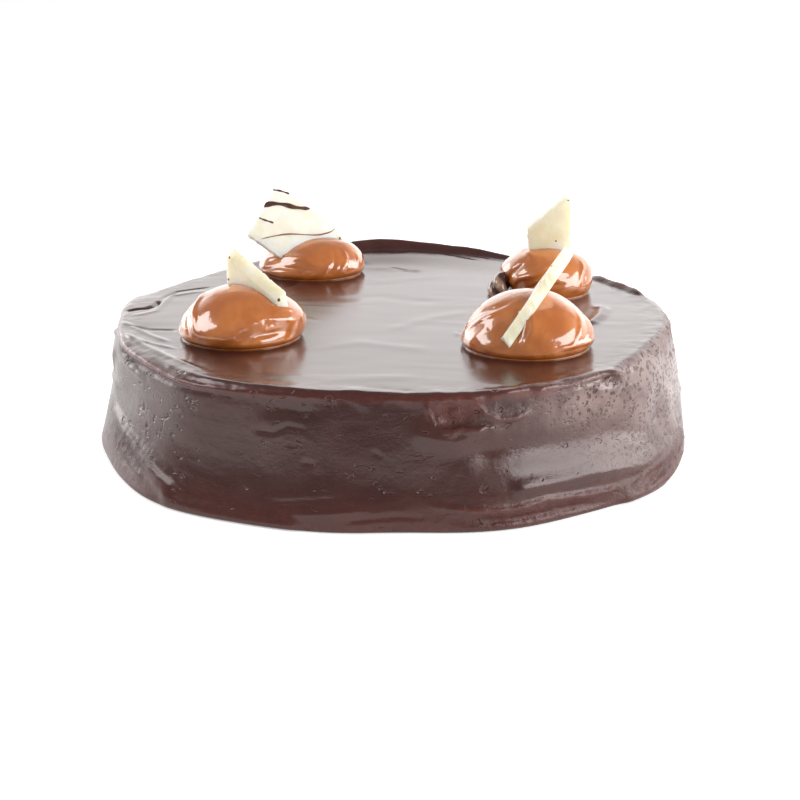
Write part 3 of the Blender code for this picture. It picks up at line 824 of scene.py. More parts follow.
DOLLOPS = {
    Place.FRONT_LEFT: DollopForm(
        middle=(-0.0559, -0.0290), half_size=(0.0231, 0.0226), height=0.0187, lean=(0.0006, 0.0008),
        dome_power=1.20, waist=0.12, base=0.94, twist=0.4, streak_turn=(1.10, 0.15, 0.0),
        bulges=((-10, 0.55, 42, 0.30, 0.12), (190, 0.60, 40, 0.25, -0.02),
                (265, 0.30, 30, 0.25, 0.02)),
        folds=(Stroke(((165, 82), (195, 74), (222, 48), (236, 12)), 1.0, 0.45, 0.30),
               Stroke(((172, 66), (200, 52), (216, 30), (224, 8)), 0.8, -0.35, 0.30),
               Stroke(((180, 50), (198, 34), (206, 10)), 0.7, 0.25, 0.30),
               Stroke(((256, 10), (272, 42), (300, 56), (335, 44)), 1.5, 0.60, 0.30),
               Stroke(((268, 6), (290, 26), (322, 30)), 1.1, -0.45, 0.30),
               Stroke(((282, 70), (312, 72), (345, 58)), 0.9, 0.35, 0.30))),
    Place.FRONT_RIGHT: DollopForm(
        middle=(0.0487, -0.0415), half_size=(0.0243, 0.0236), height=0.0198, lean=(0.0012, 0.0008),
        dome_power=1.35, waist=0.12, base=0.94, twist=1.9, streak_turn=(1.25, -0.35, 0.0),
        bulges=((195, 0.50, 40, 0.28, -0.07), (245, 0.36, 20, 0.30, -0.09),
                (330, 0.35, 36, 0.25, 0.02)),
        folds=(Stroke(((178, 40), (198, 68), (232, 88)), 0.8, -0.35, 0.30),
               Stroke(((186, 22), (206, 54), (230, 78)), 1.0, 0.40, 0.30),
               Stroke(((254, 26), (258, 56), (246, 84)), 1.1, -0.60, 0.30),
               Stroke(((262, 14), (272, 50), (270, 86)), 1.2, 0.30, 0.30),
               Stroke(((298, 8), (318, 40), (344, 74)), 0.7, 0.30, 0.30),
               Stroke(((308, 6), (328, 36), (354, 64)), 0.6, -0.25, 0.30),
               Stroke(((318, 6), (338, 32), (364, 56)), 0.7, 0.30, 0.30),
               Stroke(((278, 8), (300, 20), (330, 22), (350, 16)), 1.0, 0.40, 0.30))),
    Place.BACK_LEFT: DollopForm(
        middle=(-0.0338, 0.0700), half_size=(0.0222, 0.0180), height=0.0142, lean=(0.0040, 0.0010),
        dome_power=1.15, waist=0.16, base=0.93, twist=3.1, streak_turn=(1.20, 0.60, 0.0),
        bulges=((10, 0.50, 40, 0.30, 0.05), (215, 0.60, 36, 0.26, -0.08)),
        folds=(Stroke(((176, 26), (214, 56), (258, 62), (282, 40)), 1.1, 0.40, 0.30),
               Stroke(((196, 12), (230, 34), (262, 34)), 0.9, -0.35, 0.30),
               Stroke(((286, 8), (296, 44), (300, 82)), 0.8, -0.30, 0.30),
               Stroke(((300, 8), (312, 46), (320, 78)), 0.9, 0.35, 0.30),
               Stroke(((322, 6), (334, 40), (344, 64)), 0.7, 0.25, 0.30))),
    Place.BACK_RIGHT: DollopForm(
        middle=(0.0622, 0.0388), half_size=(0.0184, 0.0184), height=0.0178, lean=(-0.0004, 0.0004),
        dome_power=1.10, waist=0.26, base=0.93, twist=4.4, streak_turn=(1.00, -0.10, 0.0),
        bulges=((185, 0.62, 46, 0.28, 0.07), (190, 0.06, 46, 0.24, -0.14),
                (350, 0.62, 40, 0.26, 0.03)),
        folds=(Stroke(((150, 90), (200, 94), (250, 84)), 0.9, 0.50, 0.30),
               Stroke(((194, 14), (212, 48), (232, 80)), 0.9, -0.60, 0.30),
               Stroke(((204, 10), (226, 42), (262, 62), (300, 58)), 1.1, 0.50, 0.30),
               Stroke(((226, 8), (256, 34), (296, 36)), 0.8, -0.35, 0.30),
               Stroke(((300, 10), (318, 46), (342, 74)), 0.8, 0.35, 0.30))),
}


@dataclass
class GanacheCoat:
    """The cake in its coat: a flat top, a rounded rim, a knife-smeared wall and a flat base."""

    height: float = 0.0466
    rim_radius: float = 0.1045
    foot_radius: float = 0.1132
    rim_round: float = 0.0026
    foot_round: float = 0.0012
    taper: Pair = (1.1, 0.45)
    lip_start: float = 0.95
    lip_widening: Swell = Swell(96, 15, 15.0)
    back_rise: Swell = Swell(92, 30, 2.4)
    back_rise_reach: Pair = (0.72, 0.97)
    relief_reach: Pair = (0.90, 0.99)
    relief_level: Pair = (-0.02, 0.02)
    seat_margin: float = 1.30
    mark_margin: float = 1.12
    edge_reach: Pair = (0.86, 0.98)
    crest_width: float = 0.03
    crest_level: Pair = (0.84, 0.95)
    rim_width: float = 0.016
    rim_level: Pair = (0.90, 0.95)
    worn_level: Pair = (0.86, 0.95)
    foot_level: Pair = (0.34, 0.05)
    grid: int = 196
    arc_rings: int = 8
    wall_rings: int = 52
    foot_rings: int = 3
    base_shares: Pair = (0.80, 0.40)
    back_seed: int = 11
    back_strokes: int = 12
    mark_seed: int = 29
    far_marks: int = 34
    mark_sweep: Pair = (345.0, 210.0)
    mark_depth: float = 1.5
    thin_mark: Pair = (0.35, 1.0)

    # Sectors of the top and the rim that are more uneven than the rest
    left_side: Sector = Sector(196.0, 34.0, 0.60, 0.95)
    right_side: Sector = Sector(2.0, 36.0, 0.70, 0.97)
    back_lip: Sector = Sector(88.0, 30.0, 0.93, 0.97)
    inner_lip: Sector = Sector(88.0, 30.0, 0.945, 0.975)
    worn_edge: Sector = Sector(26.0, 9.0, 0.955, 0.99)

    # Uneven relief, from broad swells to fine grit
    top_swell: Lumps = Lumps(0.16, (13.0, 22.0, 0.0), 1.0, 1)
    top_ripple: Lumps = Lumps(0.05, (16.0, 52.0, 0.0), 2.0, 2)
    left_ruffle: Lumps = Lumps(0.20, (26.0, 62.0, 0.0), 3.0, 2)
    right_ruffle: Lumps = Lumps(0.14, (60.0, 90.0, 0.0), 4.0, 2)
    edge_ruffle: Lumps = Lumps(0.24, (110.0, 110.0, 0.0), 5.0)
    wall_swell: Lumps = Lumps(0.26, (26.0, 26.0, 60.0), 6.0, 2)
    wall_ripple: Lumps = Lumps(0.05, (120.0, 120.0, 240.0), 7.0, 2)
    rough_grit: Lumps = Lumps(0.42, (330.0, 330.0, 420.0), 8.0)
    back_crumple: Lumps = Lumps(0.70, (58.0, 58.0, 180.0), 9.0, 2)
    crest_crumple: Lumps = Lumps(0.42, (130.0, 130.0, 170.0), 11.0)
    torn_grit: Lumps = Lumps(0.55, (240.0, 240.0, 300.0), 12.0)

    def plain_bmesh(self) -> bmesh.types.BMesh:
        """The turned cake before it is shaped: a gridded disc whose edge is drawn down the wall.

        Returns:
            The shape with its top, wall and base.
        """
        bm = bmesh.new()
        bmesh.ops.create_grid(bm, x_segments=self.grid, y_segments=self.grid, size=1.0)
        reach = self.rim_radius - self.rim_round
        for vert in bm.verts:
            a, b, _ = vert.co
            radius, turn = (a, b / a) if abs(a) > abs(b) else (b, 2.0 - a / b if b else 0.0)
            share = abs(radius) * (1.4 - 0.4 * abs(radius)) * reach
            turn = math.pi / 4 * turn + (math.pi if radius < 0.0 else 0.0)
            vert.co = (share * math.cos(turn), share * math.sin(turn), self.height)
        edge = [item for item in bm.edges if item.is_boundary]
        for radius, level in self.side_rings():
            grown = bmesh.ops.extrude_edge_only(bm, edges=edge)["geom"]
            edge = [item for item in grown if isinstance(item, bmesh.types.BMEdge)]
            for vert in (item for item in grown if isinstance(item, bmesh.types.BMVert)):
                flat = Vector((vert.co.x, vert.co.y, 0.0)).normalized() * radius
                vert.co = (flat.x, flat.y, level)
        bmesh.ops.contextual_create(bm, geom=edge)
        return bm

    def side_rings(self) -> List[Pair]:
        """Lay out the rings of the side.

        Returns:
            Radius and height of each ring, from the rim's rounding down to the base.
        """
        rings = []
        for step in range(1, self.arc_rings + 1):
            turn = math.pi / 2 * step / self.arc_rings
            rings.append((self.rim_radius - self.rim_round * (1.0 - math.sin(turn)),
                          self.height - self.rim_round * (1.0 - math.cos(turn))))
        top = self.height - self.rim_round
        for step in range(1, self.wall_rings + 1):
            rings.append((self.rim_radius, top + (self.foot_round - top) * step / self.wall_rings))
        for step in range(1, self.foot_rings + 1):
            turn = math.pi / 2 * step / self.foot_rings
            rings.append((self.rim_radius - self.foot_round * (1.0 - math.cos(turn)),
                          self.foot_round * (1.0 - math.sin(turn))))
        rings += [(share * self.rim_radius, 0.0) for share in self.base_shares]
        return rings

    def wall_radius(self, bearing: np.ndarray, height: np.ndarray) -> np.ndarray:
        """Radius of the side: a rim, a wider foot and a taper that changes round the cake.

        Args:
            bearing: Bearings in degrees.
            height: Heights in metres.

        Returns:
            Radii in metres.
        """
        rim = self.rim_radius + swell_sum(bearing, RIM_SWELLS)
        foot = self.foot_radius + swell_sum(bearing, FOOT_SWELLS)
        drop = np.clip(1.0 - height / self.height, 0.0, 1.0)
        middle, swing = self.taper
        return rim + (foot - rim) * drop ** (middle - swing * np.cos(np.radians(bearing)))

    def far_side_strokes(self) -> Tuple[Stroke, ...]:
        """Draw knife strokes on the side turned away, by the CAD's seeded rule.

        Returns:
            The strokes.
        """
        draw = random.Random(self.back_seed)
        strokes = []
        for index in range(self.back_strokes):
            turn = 4.0 + 180.0 * (index + draw.random()) / self.back_strokes
            half = draw.uniform(14, 34) / 2
            level = draw.uniform(0.12, 0.86) * self.height / MM
            drift = draw.uniform(-0.12, 0.12) * self.height / MM
            amount = draw.uniform(0.7, 1.6) * draw.choice((-1.0, 1.0))
            line = ((turn - half, level - drift), (turn, level + drift / 2), (turn + half, level + drift))
            strokes.append(Stroke(line, draw.uniform(2.6, 4.8), amount))
        return tuple(strokes)

    def far_side_marks(self) -> Tuple[Stroke, ...]:
        """Draw fine folds and smears where no other mark is, by a seeded rule.

        Returns:
            The marks.
        """
        draw = random.Random(self.mark_seed)
        first, sweep = self.mark_sweep
        marks = []
        for index in range(self.far_marks):
            turn = first + sweep * (index + draw.random()) / self.far_marks
            half = draw.uniform(2.0, 9.0)
            level = draw.uniform(3.0, 43.5)
            slope = draw.uniform(-2.6, 2.6)
            line = ((turn - half, level - slope), (turn, level + draw.uniform(-0.8, 0.8)),
                    (turn + half, level + slope))
            marks.append(Stroke(line, draw.uniform(0.6, 1.2), draw.choice((-0.5, 0.4, 0.6)), 0.3))
        return tuple(marks)

    def wall_sum(self, bearing: np.ndarray, height: np.ndarray, strokes: Sequence[Stroke]) -> np.ndarray:
        """Sum of strokes on the unrolled wall, in metres.

        Args:
            bearing: Bearings in degrees.
            height: Heights in metres.
            strokes: Strokes whose points are (bearing, height in millimetres).

        Returns:
            The outward step at each place.
        """
        relief = np.zeros_like(bearing)
        for stroke in strokes:
            middle = stroke.points[len(stroke.points) // 2][0]
            across = np.radians(turn_between(bearing, middle)) * self.rim_radius
            line = [(math.radians(turn - middle) * self.rim_radius, level * MM)
                    for turn, level in stroke.points]
            relief += stroke_relief(across, height, line, stroke)
        return relief

    def patch_sum(self, bearing: np.ndarray, height: np.ndarray, patches: Sequence[Patch]) -> np.ndarray:
        """Sum of soft patches on the wall.

        Args:
            bearing: Bearings in degrees.
            height: Heights in metres.
            patches: The patches.

        Returns:
            The sum at each place, in the patches' own unit.
        """
        total = np.zeros_like(bearing)
        for patch in patches:
            across = np.radians(turn_between(bearing, patch.bearing)) * self.rim_radius
            total += patch.amount * np.exp(-(across / (patch.half_length * MM)) ** 2
                                           - ((height - patch.height * MM) / (patch.half_height * MM)) ** 2)
        return total

    def seat_share(self, x: np.ndarray, y: np.ndarray, margin: float) -> np.ndarray:
        """Keep the seats under the dollops flat.

        Args:
            x: Places along x, in metres.
            y: Places along y, in metres.
            margin: Where the seats end, as a share of the dollops' half sizes.

        Returns:
            0 on a seat and 1 beyond its margin.
        """
        share = np.ones_like(x)
        for form in DOLLOPS.values():
            away = np.hypot((x - form.middle[0]) / form.half_size[0],
                            (y - form.middle[1]) / form.half_size[1])
            share = np.minimum(share, smooth_step(1.0, margin, away))
        return share

    def top_relief(self, points: np.ndarray, bearing: np.ndarray, reach: np.ndarray) -> np.ndarray:
        """Height of the top's strokes, creases and lumps, in metres.

        Args:
            points: Rows of x, y, z.
            bearing: Bearings in degrees.
            reach: Distance from the axis as a share of the rim's radius.

        Returns:
            The step upwards at each point.
        """
        x, y, _ = points.T
        relief = self.top_swell.at(points) + self.top_ripple.at(points)
        relief += self.left_side.share(bearing, reach) * self.left_ruffle.at(points)
        relief += self.right_side.share(bearing, reach) * self.right_ruffle.at(points)
        relief += self.back_lip.share(bearing, reach) * self.back_crumple.at(points)
        relief += smooth_step(*self.edge_reach, reach) * self.edge_ruffle.at(points)
        for mark in TOP_MARKS:
            line = [(px * MM, py * MM) for px, py in mark.points]
            relief += stroke_relief(x, y, line, mark)
        return relief * self.seat_share(x, y, self.mark_margin)

    def outlined(self, plain: np.ndarray, bearing: np.ndarray, reach: np.ndarray,
                 level: np.ndarray) -> np.ndarray:
        """Give the plain cake its uneven outline, raised lip, broad strokes and dents.

        Args:
            plain: The plain cake's points, as rows of x, y, z.
            bearing: Their bearings in degrees.
            reach: Their distances from the axis as a share of the rim's radius.
            level: Their heights as a share of the cake's.

        Returns:
            The shaped points, as rows of x, y, z.
        """
        x, y, z = plain.T
        turn = np.radians(bearing)
        seats = self.seat_share(x, y, self.seat_margin)
        start = self.lip_start - swell_sum(bearing, (self.lip_widening,))
        lip = smooth_step(start, 1.0, reach) * seats
        grip = smooth_step(*self.relief_reach, reach) * smooth_step(*self.relief_level, level)
        coarse = self.wall_sum(bearing, z, WALL_STROKES + self.far_side_strokes())
        coarse += self.patch_sum(bearing, z, WALL_DENTS) * MM
        radius = reach * self.wall_radius(bearing, z) + grip * coarse
        slope = smooth_step(*self.back_rise_reach, reach) * seats
        rise = lip * swell_sum(bearing, RIM_RISES) + slope * swell_sum(bearing, (self.back_rise,))
        return np.stack((radius * np.cos(turn), radius * np.sin(turn), z + level * rise), axis=1)

    def shaped(self, mesh: bpy.types.Mesh) -> None:
        """Shape the plain cake, add its fine relief, and store what its finish reads.

        Args:
            mesh: The plain cake's mesh, which is changed.
        """
        plain = read_points(mesh)
        x, y, z = plain.T
        bearing = np.degrees(np.arctan2(y, x)) % 360.0
        reach = np.hypot(x, y) / self.rim_radius
        level = z / self.height
        points = self.outlined(plain, bearing, reach, level)
        write_points(mesh, points)

        edge_share = 1.0 - self.rim_round / self.rim_radius
        side = smooth_step(edge_share, 1.0, reach) * smooth_step(0.0, 0.03, level)
        top = (1.0 - smooth_step(edge_share, 1.0, reach)) * (level > 0.5)
        rough = self.patch_sum(bearing, z, ROUGH_PATCHES) * side
        torn = np.clip(self.patch_sum(bearing, z, TORN_PATCHES), 0.0, 1.0) * side
        crest = np.exp(-((reach - 1.0) / self.crest_width) ** 2) * smooth_step(*self.crest_level, level)
        marks = self.wall_sum(bearing, z, WALL_MARKS + self.far_side_marks()) * self.mark_depth
        wall = marks + self.wall_swell.at(points) + self.wall_ripple.at(points)
        wall += np.clip(rough, 0.0, 1.0) * self.rough_grit.at(points)
        wall += torn * self.torn_grit.at(points) + crest * self.crest_crumple.at(points)
        step = side * wall + top * self.top_relief(points, bearing, reach)
        write_points(mesh, points + read_normals(mesh) * step[:, None])

        low, high = self.thin_mark
        lifted = smooth_step(*self.rim_level, level)
        rim = np.exp(-((reach - 1.0) / self.rim_width) ** 2) * lifted
        raised = smooth_step(low * MM, high * MM, marks) * side
        worn = self.worn_edge.share(bearing, reach) * smooth_step(*self.worn_level, level)
        layered = 0.6 + 0.8 * grain(points, (22.0, 22.0, 320.0), 10.0, 2)
        inner = self.inner_lip.share(bearing, reach) * lifted * layered
        foot = smooth_step(*self.foot_level, level) * side
        thin_and_crest_highlight = 0.42 * rim + 0.35 * raised + worn + 0.3 * inner + 0.35 * foot + 0.6 * torn
        write_share(mesh, "top", top)
        write_share(mesh, "rough", rough + worn + 0.3 * inner)
        write_share(mesh, "porous", self.patch_sum(bearing, z, POROUS_PATCHES) * side)
        write_share(mesh, "thin_and_crest_highlight", thin_and_crest_highlight)

    def build(self) -> Tuple[bpy.types.Object, Vector]:
        """Build the coat and centre it.

        Returns:
            The piece, and the step that centres the cake on the frame's axis.
        """
        mesh = finished_mesh(self.plain_bmesh(), "ganache_coat")
        self.shaped(mesh)
        points = read_points(mesh)
        middle = (points.min(axis=0) + points.max(axis=0)) / 2
        step = Vector((-middle[0], -middle[1], 0.0))
        mesh.transform(Matrix.Translation(step))
        piece = add_piece(mesh, GanacheFinish().material(), Slot.GANACHE, ("cake",))
        return piece, step


@dataclass
class CaramelDollop:
    """A spooned dollop of caramel: a turned dome with folds, streaks and a wetted foot."""

    place: Place
    step: Vector
    seat: float
    steps: int = 150
    dome_rings: int = 60
    fullness: float = 0.35
    foot_shares: Tuple[float, ...] = (0.15, 0.3, 0.45, 0.6, 0.75, 0.88)
    sink: float = 0.02
    swirl_depth: float = 0.024
    soft_depth: float = 0.35
    ripple_depth: float = 0.06
    fold_depth: float = 1.6

    def plain_bmesh(self, form: DollopForm) -> bmesh.types.BMesh:
        """Turn the half section of unit size.

        Args:
            form: The dollop's form.

        Returns:
            The closed turned shape.
        """
        profile = []
        for ring in range(self.dome_rings + 1):
            turn = math.pi / 2 * ring / self.dome_rings
            level = abs(math.cos(turn))
            rise = self.fullness * level + (1.0 - self.fullness) * level ** form.dome_power
            profile.append((math.sin(turn), form.waist + (1.0 - form.waist) * rise))
        for share in self.foot_shares:
            profile.append((1.0 - (1.0 - form.base) * share ** 2, form.waist * (1.0 - share)))
        foot = form.base + 0.006
        profile += [(form.base + 0.002, 0.01), (foot, -0.005), (foot, -self.sink),
                    (form.base / 2, -self.sink), (0.0, -self.sink)]
        bm = bmesh.new()
        points = [bm.verts.new((radius, 0.0, height)) for radius, height in profile]
        for upper, lower in zip(points, points[1:]):
            bm.edges.new((upper, lower))
        bmesh.ops.spin(bm, geom=bm.verts[:] + bm.edges[:], cent=(0, 0, 0), axis=(0, 0, 1),
                       angle=2.0 * math.pi, steps=self.steps, use_merge=True, use_duplicate=False)
        bmesh.ops.remove_doubles(bm, verts=bm.verts[:], dist=1.0e-5)
        return bm

    def bulged(self, form: DollopForm, plain: np.ndarray, angle: np.ndarray) -> np.ndarray:
        """Swirl, bulge, lean and size the plain dollop.

        Args:
            form: The dollop's form.
            plain: Its points, as rows of x, y, z of unit size.
            angle: Their turns about the axis, in radians.

        Returns:
            The shaped points, in metres.
        """
        x, y, z = plain.T
        fold = np.sin(3.0 * angle + 4.0 * z + form.twist)
        fold += 0.6 * np.sin(2.0 * angle - 2.5 * z + 2.0 * form.twist)
        spread = 1.0 + self.swirl_depth * fold * smooth_step(0.02, 0.30, z)
        for bearing, level, half_width, half_height, amount in form.bulges:
            away = turn_between(np.degrees(angle), bearing) / half_width
            spread += amount * np.exp(-away ** 2 - ((z - level) / half_height) ** 2)
        return np.stack((x * spread * form.half_size[0] + form.lean[0] * z * z,
                         y * spread * form.half_size[1] + form.lean[1] * z * z,
                         z * form.height), axis=1)

    def relief(self, form: DollopForm, points: np.ndarray, angle: np.ndarray,
               level: np.ndarray) -> np.ndarray:
        """Soft lumps, streaks of the spoon and folds.

        Args:
            form: The dollop's form.
            points: Its shaped points.
            angle: Their turns about the axis, in radians.
            level: Their heights as a share of the dollop's.

        Returns:
            The step outwards at each point, in metres.
        """
        soft = self.soft_depth * MM * grain(points, (60.0, 60.0, 60.0), form.twist, 2)
        axis = Euler(form.streak_turn).to_matrix() @ Vector((0.0, 0.0, 1.0))
        along = points @ np.array(axis) / form.half_size[0]
        ripple = np.sin(along * 19.0 + 2.5 * grain(points, (45.0, 45.0, 45.0), form.twist + 3.0, 2))
        streaky = smooth_step(0.0, 0.5, grain(points, (55.0, 55.0, 55.0), form.twist + 5.0, 2))
        step = soft + self.ripple_depth * MM * ripple * streaky
        reach = form.half_size[0]
        for stroke in form.folds:
            middle = stroke.points[len(stroke.points) // 2][0]
            line = [(math.radians(turn - middle) * reach, hundredths / 100 * form.height)
                    for turn, hundredths in stroke.points]
            across = np.radians(turn_between(np.degrees(angle), middle)) * reach
            step += self.fold_depth * stroke_relief(across, level * form.height, line, stroke)
        return step * smooth_step(0.03, 0.25, level) * (1.0 - smooth_step(0.86, 1.0, level))

    def build(self) -> bpy.types.Object:
        """Build the dollop in place.

        Returns:
            The piece.
        """
        form = DOLLOPS[self.place]
        mesh = finished_mesh(self.plain_bmesh(form), "caramel_dollop_" + self.place.value)
        plain = read_points(mesh)
        angle = np.arctan2(plain[:, 1], plain[:, 0])
        points = self.bulged(form, plain, angle)
        write_points(mesh, points)
        step = self.relief(form, points, angle, plain[:, 2])
        write_points(mesh, points + read_normals(mesh) * step[:, None])
        middle = Vector((*form.middle, self.seat)) + self.step
        mesh.transform(Matrix.Translation(middle))
        finish = CaramelFinish("caramel_" + self.place.value, tuple(middle), form.streak_turn)
        return add_piece(mesh, finish.material(), Slot.CARAMEL, ("caramel_" + self.place.value,))


class DrizzleTone(Enum):
    """The tones of drizzle, by the name that their pieces start with."""

    DARK = "dark_drizzle"
    PALE = "pale_drizzle"


DRIZZLE_FINISHES = {
    DrizzleTone.DARK: StripeFinish(DrizzleTone.DARK.value, (0.050, 0.014, 0.010), (0.120, 0.042, 0.030)),
    DrizzleTone.PALE: StripeFinish(DrizzleTone.PALE.value, (0.180, 0.070, 0.030), (0.300, 0.130, 0.060)),
}


@dataclass(frozen=True)
class Drizzle:
    """A stripe on a shard's face: points (u, v) and half width in millimetres, and its tone."""

    points: Tuple[Pair, ...]
    half_width: float
    tone: DrizzleTone = DrizzleTone.DARK


@dataclass(frozen=True)
class ShardForm:
    """A broken plate: its place, turn, thickness, tones of painted light and shade, corners, stripes and
    specks.

    Corners are (u, v) on the front face and the back face's step from there, and specks are (u, v,
    half size), all in millimetres along the plate.
    """

    origin: Triple
    yaw: float
    lean: float
    thickness: float
    # Each shard's pair of tones is its own lit or shaded copy of one white chocolate: painted light and
    # shade.
    lit_and_shaded_tones: Tuple[Colour, Colour]
    corners: Tuple[Tuple[float, float, float, float], ...]
    drizzles: Tuple[Drizzle, ...] = ()
    specks: Tuple[Triple, ...] = ()


# The shards' tones differ by painted light and shade: the back left one is painted lighter as if lit, the
# front ones darker and yellower as if shaded.
SHARDS = {
    Place.FRONT_LEFT: ShardForm(
        origin=(-0.0610, -0.0240, 0.0745), yaw=-39.4, lean=0.0, thickness=0.0038,
        lit_and_shaded_tones=((0.750, 0.690, 0.525), (0.830, 0.800, 0.690)),
        corners=((0.0, 0.0, 0.3, 3.2), (0.0, -10.6, 0.3, 0.0), (1.2, -18.5, 0.0, 0.0),
                 (22.5, -21.5, 0.0, 0.0), (26.2, -17.0, 1.0, 0.4), (24.6, -12.1, 1.2, 2.6)),
        specks=((0.8, -8.0, 0.45), (26.0, -11.6, 0.75), (1.6, 0.4, 0.5))),
    Place.FRONT_RIGHT: ShardForm(
        origin=(0.0388, -0.0627, 0.0551), yaw=-101.0, lean=34.0, thickness=0.0042,
        lit_and_shaded_tones=((0.720, 0.660, 0.490), (0.790, 0.755, 0.630)),
        corners=((0.0, 0.0, 0.8, -1.6), (-22.1, 33.0, -0.3, -2.2), (-30.0, 32.2, 0.0, -0.4),
                 (-29.0, 6.0, 0.0, 0.0), (-23.0, -5.0, 0.0, 0.0), (-6.0, -3.5, 0.0, 0.0)),
        drizzles=(Drizzle(((-28.0, 22.0), (-22.0, 19.0), (-15.0, 19.5)), 0.5),
                  Drizzle(((-29.0, 14.0), (-20.0, 12.0), (-11.0, 13.0)), 0.3, DrizzleTone.PALE)),
        specks=((-20.0, 26.0, 0.4),)),
    Place.BACK_LEFT: ShardForm(
        origin=(-0.0463, 0.0600, 0.0555), yaw=20.0, lean=35.0, thickness=0.0036,
        lit_and_shaded_tones=((0.845, 0.820, 0.710), (0.900, 0.885, 0.825)),
        corners=((0.0, -0.5, 0.5, 0.4), (11.0, -6.2, 0.0, 0.0), (26.2, -4.0, 0.0, 0.0),
                 (28.6, 7.5, 0.0, 0.0), (18.0, 19.5, 0.6, -0.3), (9.9, 27.4, 0.4, 0.0),
                 (3.3, 29.7, 0.0, 0.4), (-6.3, 17.7, -0.3, 0.3), (-12.0, 11.0, 0.4, 0.6)),
        drizzles=(Drizzle(((-2.9, 22.4), (0.4, 23.7), (5.5, 23.0), (10.9, 21.2), (16.8, 20.2)), 1.05),
                  Drizzle(((2.3, 29.9), (5.4, 29.3), (9.4, 27.5)), 0.42),
                  Drizzle(((-5.9, 17.9), (-3.5, 16.6), (0.1, 15.0)), 0.42),
                  Drizzle(((-6.7, 8.3), (-0.5, 9.2), (6.0, 9.5), (16.7, 8.2), (21.1, 8.5), (24.4, 9.4),
                           (27.0, 11.5)), 0.33, DrizzleTone.PALE)),
        specks=((1.4, -0.2, 0.7), (27.2, 6.0, 0.45))),
    Place.BACK_RIGHT: ShardForm(
        origin=(0.0630, 0.0360, 0.0600), yaw=5.0, lean=-5.0, thickness=0.0030,
        lit_and_shaded_tones=((0.820, 0.770, 0.600), (0.880, 0.860, 0.750)),
        corners=((-9.3, 12.8, 0.0, 0.4), (-8.5, 5.5, 0.0, 0.0), (-5.6, -8.0, 0.0, 0.0),
                 (6.6, -9.5, 0.0, 0.0), (8.5, -2.0, 0.0, 0.0), (7.8, 24.8, 0.0, 0.4),
                 (5.4, 24.6, 0.0, 0.6)),
        specks=((2.3, 7.5, 0.42), (6.6, 24.2, 0.4))),
}


